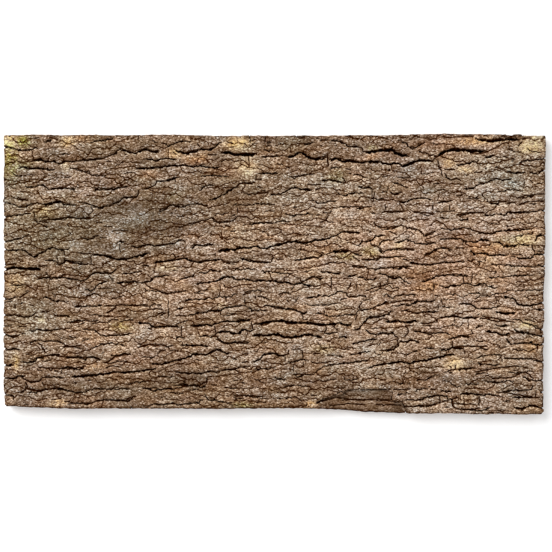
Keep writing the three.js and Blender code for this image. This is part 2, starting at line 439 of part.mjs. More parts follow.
  1.4 241 -78 246 -80 252 -83
  2.2 221 -94 224 -92 229 -90 241 -89.5 253 -89
  1.8 208 -93 211 -95 218 -95.5 221 -97 232 -100 243 -100 251 -98.5
  2.4 252 -92.5 266 -93 274 -93.5 282 -93 289 -94 299 -97
  2 201 -105 212 -104 223 -103.5
  1.6 185 -108.5 193 -108 199 -107
  1.4 188 -99.5 199 -101.5
  1.8 220 -111 231 -108.5 235 -107.5
  1.8 243 -114.5 254 -112
  1.6 255 -109 261 -108 267 -109 279 -109 281 -107 289 -107
  1.8 231 -117.5 243 -118 249 -119 256 -118 262 -119 269 -117.5
  2 271 -115.5 277 -114 281 -117 287 -118 299 -118
  1.8 208 -121.5 215 -121.5 228 -121
  1.6 184 -118 190 -117.5 198 -122 208 -124.5
  1.8 180 -127.5 186 -129.5 199 -128.5
  2.4 202 -133 208 -131.5 220 -131.5 228 -134 234 -132.5 247 -134.5
  2 250 -129.5 256 -130 264 -127.5 277 -128.5 282 -128 285 -124.5 284.5 -121
  1.6 287 -128 291 -127.5 299 -131.5
  2.4 250 -140 256 -140.5 262 -140
  2.4 263 -136.5 276 -135.5 282 -136 288 -137.5
  2.4 263 -147 275 -148.5 280 -146 281 -144.5 288 -145 299 -148
  1.4 181 -148 184 -146.5 195 -146.5
  2.2 200 -149.5 206 -148.5 221 -150 233 -149.5 236 -147.5 241 -146
  1.2 262.5 -141.5 263 -145.5
  1.4 70 -140 75 -140.5 83 -142
  1.3 92 -143.5 103 -143
  1.3 112 -146 121 -145`;

// The lip of the flaked place: it comes in over the bottom edge and fades out to the left
const FLAKE_LIP = `
  2.6 147.5 -154 146 -150 142 -146 139.5 -142.3 131 -141.3 129 -138 129 -130 126 -128 110 -128.2 92 -127.6
  + 81 -128.6 73 -133.6 61 -136.4 52 -139.6 45 -141.8`;

// Seeded random numbers from 0 to 1
function makeRandom(seed) {
  let state = seed;
  return () => {
    state = (state + 0x6d2b79f5) | 0;
    let mixed = Math.imul(state ^ (state >>> 15), 1 | state);
    mixed = (mixed + Math.imul(mixed ^ (mixed >>> 7), 61 | mixed)) ^ mixed;
    return ((mixed ^ (mixed >>> 14)) >>> 0) / 4294967296;
  };
}

const random = makeRandom(SEED);

function pairUp(numbers) {
  const points = [];
  for (let i = 0; i + 1 < numbers.length; i += 2) {
    points.push(new THREE.Vector2(numbers[i], numbers[i + 1]));
  }
  return points;
}

function readPoints(text) {
  return pairUp(text.trim().split(/\s+/).map(Number));
}

function readFissures(text) {
  const rows = text.trim().replace(/\n\s*\+/g, '').split('\n');
  return rows.map((row) => {
    const [gap, ...numbers] = row.trim().split(/\s+/).map(Number);
    return { gap, route: pairUp(numbers) };
  });
}

// Points at an even walking step along an open route
function walk(route, step) {
  const points = [];
  for (let i = 0; i + 1 < route.length; i++) {
    const count = Math.max(1, Math.round(route[i].distanceTo(route[i + 1]) / step));
    for (let j = 0; j < count; j++) {
      points.push(route[i].clone().lerp(route[i + 1], j / count));
    }
  }
  points.push(route.at(-1).clone());
  return points;
}

function routeLength(route) {
  let length = 0;
  for (let i = 0; i + 1 < route.length; i++) {
    length += route[i].distanceTo(route[i + 1]);
  }
  return length;
}

// The border as a closed loop with the running length at each corner
const border = readPoints(BORDER);
const borderRun = [0];
border.forEach((corner, i) => {
  borderRun.push(borderRun[i] + corner.distanceTo(border[(i + 1) % border.length]));
});
const borderLength = borderRun.at(-1);

// Nearest place on the border: its distance, its running length and the border's direction there
function nearestOnBorder(point) {
  let best = { distance: Infinity };
  border.forEach((corner, i) => {
    const along = border[(i + 1) % border.length].clone().sub(corner);
    const share = THREE.MathUtils.clamp(point.clone().sub(corner).dot(along) / along.lengthSq(), 0, 1);
    const distance = corner.clone().addScaledVector(along, share).distanceTo(point);
    if (distance < best.distance) {
      best = { distance, run: borderRun[i] + share * along.length(), along: along.normalize() };
    }
  });
  return best;
}

function pointOnBorder(run) {
  const wrapped = THREE.MathUtils.euclideanModulo(run, borderLength);
  const i = borderRun.findLastIndex((start) => start <= wrapped) % border.length;
  const share = (wrapped - borderRun[i]) / (borderRun[i + 1] - borderRun[i]);
  return border[i].clone().lerp(border[(i + 1) % border.length], share);
}

function isInside(point, corners) {
  let inside = false;
  corners.forEach((a, i) => {
    const b = corners[(i + 1) % corners.length];
    if (a.y > point.y !== b.y > point.y && point.x < a.x + ((point.y - a.y) * (b.x - a.x)) / (b.y - a.y)) {
      inside = !inside;
    }
  });
  return inside;
}

// Height of the face before plates and fissures
const [flakeLip] = readFissures(FLAKE_LIP);
const flakePlace = [
  ...flakeLip.route,
  new THREE.Vector2(FLAKE_START, -HALF_WIDTH - EDGE_REACH),
  new THREE.Vector2(FLAKE_END, -HALF_WIDTH - EDGE_REACH),
];

function faceHeight(point) {
  const { x, y } = point;
  const hills = Math.sin(x / SWELL_ALONG + 1.3) * Math.cos(y / SWELL_ACROSS - 0.4);
  const swell = 0.6 * hills + 0.4 * Math.sin((x + 2 * y) / SWELL_SLANT);
  const drop = isInside(point, flakePlace) ? THREE.MathUtils.smoothstep(x, FLAKE_START, FLAKE_FULL) : 0;
  return PLATE_TOP + SWELL * swell - FLAKE_DROP * drop;
}

// Keeps the points that a route needs to stay within a distance of its walk
function simplify(points, fit) {
  const chord = new THREE.Line3(
    new THREE.Vector3(points[0].x, points[0].y),
    new THREE.Vector3(points.at(-1).x, points.at(-1).y),
  );
  const nearest = new THREE.Vector3();
  let farthest = 0;
  let split = 0;
  points.forEach((point, i) => {
    const spot = new THREE.Vector3(point.x, point.y);
    const distance = chord.closestPointToPoint(spot, true, nearest).distanceTo(spot);
    if (distance > farthest) {
      farthest = distance;
      split = i;
    }
  });
  if (farthest <= fit) {
    return [points[0], points.at(-1)];
  }
  return [...simplify(points.slice(0, split + 1), fit).slice(0, -1), ...simplify(points.slice(split), fit)];
}

// Spreads the points out, and adds one near each tip so that the gap opens there
function spacePoints(route, openStart) {
  const spaced = [route[0]];
  route.slice(1, -1).forEach((point) => {
    if (point.distanceTo(spaced.at(-1)) > CLOSEST && point.distanceTo(route.at(-1)) > CLOSEST) {
      spaced.push(point);
    }
  });
  spaced.push(route.at(-1));
  const last = spaced.length - 1;
  if (spaced[last].distanceTo(spaced[last - 1]) > 2 * TAPER || last === 1) {
    const share = Math.min(0.5, TAPER / spaced[last].distanceTo(spaced[last - 1]));
    spaced.splice(last, 0, spaced[last].clone().lerp(spaced[last - 1], share));
  }
  if (!openStart && spaced[0].distanceTo(spaced[1]) > 2 * TAPER) {
    spaced.splice(1, 0, spaced[0].clone().lerp(spaced[1], TAPER / spaced[0].distanceTo(spaced[1])));
  }
  return spaced;
}

// Which end of a route runs out over the border, if one does and leaves room for the others there
function openEnd(fissure, openings) {
  const { gap, route } = fissure;
  for (const [end, next] of [[route[0], route[1]], [route.at(-1), route.at(-2)]]) {
    const place = nearestOnBorder(end);
    const heading = end.clone().sub(next).normalize();
    const crossing = Math.abs(heading.cross(place.along));
    const isClear = openings.every(({ run, half }) => Math.abs(run - place.run) > half + gap / 2 + 2 * WEB);
    if (place.distance < EDGE_REACH && crossing > EDGE_CROSSING && isClear) {
      return { end, run: place.run, half: gap / 2 };
    }
  }
  return null;
}

// Lays out the fissures, the widest first: each one keeps the longest stretch that is clear of the rest
function layOutFissures() {
  const placed = [];
  const openings = [];
  const isClear = (point, gap, isOpen) => {
    if (!isOpen && nearestOnBorder(point).distance < gap / 2 + WEB) {
      return false;
    }
    return placed.every((other) =>
      other.walked.every((spot) => spot.distanceTo(point) > other.gap / 2 + CROWDING * gap + WEB),
    );
  };
  const waiting = readFissures(FISSURES).sort((a, b) => b.gap - a.gap);
  [flakeLip, ...waiting].forEach((fissure) => {
    const { gap } = fissure;
    const opening = openEnd(fissure, openings);
    const route = fissure.route.map((point) => point.clone());
    if (opening) {
      if (opening.end === fissure.route.at(-1)) {
        route.reverse();
      }
      route[0] = pointOnBorder(opening.run);
    }
    const walked = walk(route, SAMPLE);
    let best = [];
    let stretch = [];
    walked.forEach((point, i) => {
      const leavesBorder = opening !== null && stretch.length === i && i * SAMPLE < EDGE_MOUTH * gap;
      if (isClear(point, gap, leavesBorder)) {
        stretch.push(point);
      } else {
        stretch = [];
      }
      if (stretch.length > best.length) {
        best = stretch;
      }
    });
    if (best.length < 2 || routeLength(best) < SHORTEST) {
      return;
    }
    const isOpen = opening !== null && best[0] === walked[0];
    if (isOpen) {
      openings.push(opening);
    }
    const points = spacePoints(simplify(best, FIT), isOpen);
    placed.push({ gap, points, walked: best, opening: isOpen ? opening : null });
  });
  return placed;
}

// The mesh being built: its points, its triangles, and the fissures' walls
const vertices = [];
const triangles = [];

function addVertex(point, z) {
  vertices.push(new THREE.Vector3(point.x, point.y, z));
  return vertices.length - 1;
}

function addQuad(a, b, c, d) {
  if (a !== b && b !== c && a !== c) {
    triangles.push([a, b, c]);
  }
  if (a !== c && c !== d && a !== d) {
    triangles.push([a, c, d]);
  }
}

// Cuts one fissure: two lips and a sharp bottom between them, closing at each tip that isn't on the border
function cutFissure({ gap, points, opening }) {
  const left = [];
  const right = [];
  const bottom = [];
  const depth = Math.min(DEEPEST, DEPTH_BASE + DEPTH_PER_GAP * gap);
  const leftRise = LIP_STEP * (random() - 0.35);
  const rightRise = LIP_STEP * (random() - 0.65);
  points.forEach((point, i) => {
    const before = points[Math.max(0, i - 1)];
    const after = points[Math.min(points.length - 1, i + 1)];
    const along = after.clone().sub(before).normalize();
    const isTip = i === points.length - 1 || (i === 0 && !opening);
    if (isTip) {
      const tip = addVertex(point, faceHeight(point));
      left.push(tip);
      right.push(tip);
      bottom.push(tip);
      return;
    }
    const half = (gap / 2) * (1 + GAP_VARIES * (random() - 0.5));
    const across = new THREE.Vector2(-along.y, along.x);
    let leftSpot = point.clone().addScaledVector(across, half);
    let rightSpot = point.clone().addScaledVector(across, -half);
    if (i === 0) {
      leftSpot = pointOnBorder(opening.run - opening.half);
      rightSpot = pointOnBorder(opening.run + opening.half);
    }
    const leftHeight = faceHeight(leftSpot) + leftRise;
    const rightHeight = faceHeight(rightSpot) + rightRise;
    left.push(addVertex(leftSpot, leftHeight));
    right.push(addVertex(rightSpot, rightHeight));
    const sunk = depth * (1 - DEPTH_VARIES * random());
    bottom.push(addVertex(point, Math.min(leftHeight, rightHeight) - sunk));
  });
  for (let i = 0; i + 1 < points.length; i++) {
    addQuad(bottom[i], bottom[i + 1], left[i + 1], left[i]);
    addQuad(right[i], right[i + 1], bottom[i + 1], bottom[i]);
  }
  return { left, right, bottom, opening };
}

// Raised points that dome the plates between the fissures
function scatterPlatePoints(fissures) {
  const spots = [];
  for (let x = -HALF_LENGTH; x < HALF_LENGTH; x += PLATE_PITCH) {
    for (let y = -HALF_WIDTH; y < HALF_WIDTH; y += PLATE_PITCH) {
      const spot = new THREE.Vector2(x + PLATE_PITCH * random(), y + PLATE_PITCH * random());
      const rise = DOME * (0.3 + 0.7 * random());
      const isClear = fissures.every(({ walked, gap }) =>
        walked.every((point) => point.distanceTo(spot) > gap / 2 + PLATE_CLEAR),
      );
      const isSpread = spots.every((other) => flat(other).distanceTo(spot) > PLATE_CLEAR);
      if (isInside(spot, border) && nearestOnBorder(spot).distance > PLATE_CLEAR && isClear && isSpread) {
        spots.push(addVertex(spot, faceHeight(spot) + rise));
      }
    }
  }
  return spots;
}

// Going round the border: the edge of the face, and the top of the side wall below it
function followBorder(cuts) {
  const open = cuts.filter(({ opening }) => opening);
  const stops = open.map((cut) => ({ run: cut.opening.run, cut }));
  border.forEach((corner, i) => {
    const run = borderRun[i];
    const isFree = open.every(({ opening }) => Math.abs(opening.run - run) > opening.half + WEB);
    if (isFree) {
      stops.push({ run, corner });
    }
  });
  stops.sort((a, b) => a.run - b.run);
  const faceEdge = [];
  const wallTop = [];
  stops.forEach(({ corner, cut }) => {
    if (corner) {
      const vertex = addVertex(corner, faceHeight(corner));
      faceEdge.push(vertex);
      wallTop.push(vertex);
      return;
    }
    faceEdge.push(...cut.left, ...cut.right.slice(0, -1).reverse());
    wallTop.push(cut.left[0], cut.bottom[0], cut.right[0]);
  });
  return { faceEdge, wallTop };
}

const flat = (id) => new THREE.Vector2(vertices[id].x, vertices[id].y);

// The foot of the side wall below a point of its top, on the plane of the back
function dropFoot(top) {
  const { along } = nearestOnBorder(flat(top));
  const inward = new THREE.Vector2(-along.y, along.x);
  return addVertex(flat(top).addScaledVector(inward, SIDE_LEAN * (0.4 + 1.2 * random())), 0);
}

// Fills a loop, and any holes in it, with triangles that face up
function fill(loop, holes) {
  const ids = [...loop, ...holes.flat()];
  const found = THREE.ShapeUtils.triangulateShape(loop.map(flat), holes.map((hole) => hole.map(flat)));
  return found.map((corners) => {
    const [a, b, c] = corners.map((corner) => ids[corner]);
    return THREE.ShapeUtils.area([flat(a), flat(b), flat(c)]) > 0 ? [a, b, c] : [a, c, b];
  });
}

// Cotangent of the angle at a corner, seen from above
function cotangent(corner, a, b) {
  const toA = flat(a).sub(flat(corner));
  const toB = flat(b).sub(flat(corner));
  return toA.dot(toB) / Math.abs(toA.cross(toB));
}

const isLeftTurn = (a, b, c) => flat(b).sub(flat(a)).cross(flat(c).sub(flat(a))) > THIN;

// Swaps the edges between neighbouring triangles until none is a long sliver that a swap would mend
function swapEdges(faces) {
  let swaps = 1;
  while (swaps > 0) {
    swaps = 0;
    const owners = new Map();
    const touched = new Set();
    faces.forEach((face, index) => {
      face.forEach((a, side) => {
        owners.set(`${a} ${face[(side + 1) % 3]}`, { index, apex: face[(side + 2) % 3] });
      });
    });
    for (const [edge, owner] of owners) {
      const [a, b] = edge.split(' ').map(Number);
      const other = owners.get(`${b} ${a}`);
      if (!other || a > b || touched.has(owner.index) || touched.has(other.index)) {
        continue;
      }
      const [c, d] = [owner.apex, other.apex];
      const isSliver = cotangent(c, a, b) + cotangent(d, a, b) < -SLIVER;
      if (isSliver && isLeftTurn(c, a, d) && isLeftTurn(d, b, c)) {
        faces[owner.index] = [c, a, d];
        faces[other.index] = [d, b, c];
        touched.add(owner.index).add(other.index);
        swaps += 1;
      }
    }
  }
  return faces;
}

// The whole slab as one closed skin
function makeSlab() {
  const fissures = layOutFissures();
  const cuts = fissures.map(cutFissure);
  const platePoints = scatterPlatePoints(fissures);
  const { faceEdge, wallTop } = followBorder(cuts);
  const holes = cuts
    .filter(({ opening }) => !opening)
    .map(({ left, right }) => [...right, ...left.slice(1, -1).reverse()]);
  triangles.push(...swapEdges(fill(faceEdge, [...holes, ...platePoints.map((spot) => [spot])])));
  const wallFoot = wallTop.map(dropFoot);
  wallTop.forEach((top, i) => {
    const next = (i + 1) % wallTop.length;
    addQuad(wallFoot[i], wallFoot[next], wallTop[next], top);
  });
  triangles.push(...fill(wallFoot, []).map(([a, b, c]) => [a, c, b]));
  const skin = new THREE.BufferGeometry();
  skin.setAttribute('position', new THREE.Float32BufferAttribute(vertices.flatMap((v) => v.toArray()), 3));
  skin.setIndex(triangles.flat());
  skin.computeVertexNormals();
  return skin;
}

const corkBark = new THREE.MeshStandardMaterial({ color: 0x836c58, roughness: 0.95, metalness: 0 });
const slab = new THREE.Mesh(makeSlab(), corkBark);
slab.name = 'cork_bark_slab';

const corkBarkSlab = new THREE.Group();
corkBarkSlab.add(slab);

export default corkBarkSlab;
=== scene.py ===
import bmesh
import bpy
import numpy as np
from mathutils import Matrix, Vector
from mathutils.bvhtree import BVHTree


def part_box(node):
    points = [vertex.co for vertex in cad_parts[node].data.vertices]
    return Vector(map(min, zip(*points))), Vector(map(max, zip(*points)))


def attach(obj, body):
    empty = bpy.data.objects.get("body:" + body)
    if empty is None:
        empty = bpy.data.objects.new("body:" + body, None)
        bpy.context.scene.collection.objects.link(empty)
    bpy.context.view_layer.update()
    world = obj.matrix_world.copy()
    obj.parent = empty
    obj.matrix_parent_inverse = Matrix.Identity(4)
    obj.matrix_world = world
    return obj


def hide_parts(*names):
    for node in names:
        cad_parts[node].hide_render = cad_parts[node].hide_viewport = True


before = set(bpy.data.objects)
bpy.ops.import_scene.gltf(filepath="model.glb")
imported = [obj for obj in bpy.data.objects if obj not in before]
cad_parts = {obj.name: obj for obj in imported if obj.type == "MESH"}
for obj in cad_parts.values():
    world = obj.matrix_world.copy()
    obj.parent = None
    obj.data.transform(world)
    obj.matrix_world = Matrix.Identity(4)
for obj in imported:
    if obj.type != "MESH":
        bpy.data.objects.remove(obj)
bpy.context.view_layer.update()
print("frame loaded:", sorted(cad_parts))

mm = 0.001

# The bark slab: lengths in millimetres, as on the real piece
slab = {
    "node": "cork_bark_slab",
    "columns": 801,        # grid of the face, along and across
    "rows": 413,
    "wallRows": 5,
    "triangles": 166000,   # of the face, after thinning
    "crackWeight": 2e-5,   # how strongly thinning spares the cracks
    "cornerRadius": 2.0,
    "cornerKeep": 12.0,    # the border is read this far from the corners, which are rounded afterwards
    "lowerKeep": 14.0,     # and this far from the lower corners on the short sides
    "outset": {"left": 1.3, "right": 0.8, "lower": 0.65, "upper": 1.0},   # crumbs reach this far out
    "inset": 1.6,          # fissures are carried over the border from this far in
    "fretReach": 7.0,      # the ragged border fades into the face over this length
    "fretPull": 0.8,       # how far fissures pull the border in
    "fretRagged": 0.2,
    "lean": (0.25, 0.35),  # the sides start this far in, and lean in by this much more
    "sawnRough": 0.22,
    "sharpAngle": 62,      # edges above this many degrees stay sharp
    "seed": 12,            # of the shape
    "finishSeed": 5,       # of the colours
}

relief = {
    "wobble": ((4.0, 0.35), (0.9, 0.45)),            # grain and reach of the fissures' ragged run
    "pinch": 0.35,                                   # how much the fissures' width varies
    "grain": ((14.0, 8.0, 0.35), (7.0, 2.2, 0.1), (2.4, 1.2, 0.05)),    # along, across, height
    "bridge": 4.0,         # hollows narrower than twice this count as fissures
    "fissureFrom": 1.0,    # depth at which a hollow starts to look like a fissure
    "fissureFull": 2.0,
    "shoulder": 0.7,       # hollows lose this much depth, so that plates stay flat up to their edges
    "steepen": 1.5,
    "edgeRound": 0.15,     # how far plate edges are worn down
    "edgeReach": 1.4,
    "lipShift": 1.6,       # painted shade lies on the plates' lower lips this far above a crack, and a painted highlight as far below it
    "wideFrom": 1.3,       # cracks from this width on look like the fissures
    "wideShare": 0.47,     # share of the listed width that is dark to the full
    "wideDepth": 2.4,
    "fineDepth": 2.0,
    "hairDepth": 0.5,
    "crackStride": 0.35,   # points along a crack
    "crackKnots": 1.6,     # it wanders from one of these to the next
    "crackWander": 0.35,
    "crackTaper": 1.5,     # length of its thin ends
    "flakeDepth": (1.6, 4.0),   # the face looks flaked from this far below the rest, and fully
    "flakeSoft": 2.5,
    "flakeCalm": 0.95,     # share of a fissure's darkness that is lost at the flaked place
    "flakeFill": 0.9,      # and of its depth
    "lowest": 4.0,         # the face stays above this
    "headroom": 1.5,       # and no higher than this over the CAD
    "sink": 0.6,           # the fissures lie this far below where the CAD has them
    "ledges": ((9.0, 2.0, 0.08), (16.0, 3.0, 0.1)),   # along, across, height
    "ledgeEdge": 0.22,
    "rollOff": {"left": 0.5, "right": 1.3, "lower": 1.3, "upper": 0.6},   # rounding towards the border, also painted into the colour as shade along it
    "rollReach": 1.4,
}

rng = np.random.default_rng(slab["seed"])
shape = (slab["rows"], slab["columns"])


def smoothStep(low, high, value):
    share = np.clip((value - low) / (high - low), 0, 1)
    return share * share * (3 - 2 * share)


# Gaussian softening of a map on the face's grid, by a length along and across
def soften(field, along, across, step):
    pad = int(3 * max(along, across) / step) + 2
    wide = np.pad(field, pad, mode="edge")
    turnsY = np.fft.fftfreq(wide.shape[0])[:, None] * across / step
    turnsX = np.fft.rfftfreq(wide.shape[1])[None, :] * along / step
    kept = np.fft.rfft2(wide) * np.exp(-2 * np.pi ** 2 * (turnsX ** 2 + turnsY ** 2))
    return np.fft.irfft2(kept, s=wide.shape)[pad:-pad, pad:-pad]


# Random map with a grain of that length, spread 1
def grainy(along, across, step):
    spare = int(3 * max(along, across) / step) + 2
    field = soften(rng.standard_normal((shape[0] + 2 * spare, shape[1] + 2 * spare)), along, across, step)
    field = field[spare:-spare, spare:-spare]
    return (field - field.mean()) / field.std()


# Highest value within a reach, counted in grid cells
def highest(field, cells):
    for axis in (0, 1):
        wide = np.pad(field, [(cells, cells) if axis == n else (0, 0) for n in (0, 1)], mode="edge")
        size = field.shape[axis]
        field = np.max([np.take(wide, range(n, n + size), axis) for n in range(2 * cells + 1)], 0)
    return field


# The face with its narrow hollows filled
def bridged(field, reach):
    cells = round(reach / step)
    return -highest(-highest(field, cells), cells)


# Reads a map of the face's grid between its points, at grid places u and v from 0 to 1
def readMap(field, u, v):
    column = np.clip(u, 0, 1) * (field.shape[1] - 1)
    row = np.clip(v, 0, 1) * (field.shape[0] - 1)
    i = np.minimum(column.astype(int), field.shape[1] - 2)
    j = np.minimum(row.astype(int), field.shape[0] - 2)
    a = column - i
    b = row - j
    low = field[j, i] * (1 - a) + field[j, i + 1] * a
    high = field[j + 1, i] * (1 - a) + field[j + 1, i + 1] * a
    return low * (1 - b) + high * b


# The CAD slab, to read its border and its heights from
class CadSlab:
    def __init__(self, node):
        mesh = node.data
        corners = [v.co for v in mesh.vertices]
        self.tree = BVHTree.FromPolygons(corners, [p.vertices for p in mesh.polygons])
        low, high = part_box(slab["node"])
        self.low = np.array(low) / mm
        self.high = np.array(high) / mm
        self.level = self.high[2] / 2

    def hit(self, start, heading):
        spot = self.tree.ray_cast(Vector(start) * mm, Vector(heading))[0]
        return None if spot is None else np.array(spot) / mm

    # Where the left, right, lower and upper border lie, at a grid's rows and columns
    def readBorder(self, across, along):
        far = 2 * self.high[0]
        left = [self.hit((-far, y, self.level), (1, 0, 0))[0] for y in across]
        right = [self.hit((far, y, self.level), (-1, 0, 0))[0] for y in across]
        lower = [self.hit((x, -far, self.level), (0, 1, 0))[1] for x in along]
        upper = [self.hit((x, far, self.level), (0, -1, 0))[1] for x in along]
        return [np.array(side) for side in (left, right, lower, upper)]

    def readHeights(self, x, y):
        above = self.high[2] + 5
        missed = self.level * 1.7   # for a ray that slips past the border
        flat = np.zeros(x.size)
        for n, (px, py) in enumerate(zip(x.ravel(), y.ravel())):
            spot = self.hit((px, py, above), (0, 0, -1))
            flat[n] = missed if spot is None else spot[2]
        return flat.reshape(x.shape)


cad = CadSlab(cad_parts[slab["node"]])
spanX = cad.high[0] - cad.low[0]
spanY = cad.high[1] - cad.low[1]
step = spanX / (slab["columns"] - 1)
rowShare = np.linspace(0, 1, slab["rows"])
columnShare = np.linspace(0, 1, slab["columns"])
borderRows = np.clip(cad.low[1] + rowShare * spanY,
                     cad.low[1] + slab["lowerKeep"], cad.high[1] - slab["cornerKeep"])
borderColumns = np.clip(cad.low[0] + columnShare * spanX,
                        cad.low[0] + slab["cornerKeep"], cad.high[0] - slab["cornerKeep"])
leftSide, rightSide, lowerSide, upperSide = cad.readBorder(borderRows, borderColumns)
print("border read")


# The four borders beside a place with grid shares u along and v across
def bordersAt(u, v):
    left, right = (np.interp(v, rowShare, side) for side in (leftSide, rightSide))
    lower, upper = (np.interp(u, columnShare, side) for side in (lowerSide, upperSide))
    return left, right, lower, upper


# Place on the slab, in millimetres, of grid shares u and v
def placeAt(u, v):
    left, right, lower, upper = bordersAt(u, v)
    return left + u * (right - left), lower + v * (upper - lower)


# Grid shares of a place on the slab
def sharesAt(x, y):
    u = (x - cad.low[0]) / spanX
    v = (y - cad.low[1]) / spanY
    for _ in range(3):   # each round comes closer
        left, right, lower, upper = bordersAt(u, v)
        u = (x - left) / (right - left)
        v = (y - lower) / (upper - lower)
    return u, v


gridU, gridV = np.meshgrid(columnShare, rowShare)
faceX, faceY = placeAt(gridU, gridV)

# Heights of the CAD face, read along a ragged run so that the fissures lose their straight walls
wobbleX, wobbleY = (sum(reach * grainy(grain, grain, step) for grain, reach in relief["wobble"])
                    for _ in range(2))
insetU, insetV = slab["inset"] / spanX, slab["inset"] / spanY
readU = np.clip(gridU + wobbleX / spanX, insetU, 1 - insetU)
readV = np.clip(gridV + (wobbleY + relief["sink"]) / spanY, insetV, 1 - insetV)
cadHeight = cad.readHeights(*placeAt(readU, readV))
print("heights read")

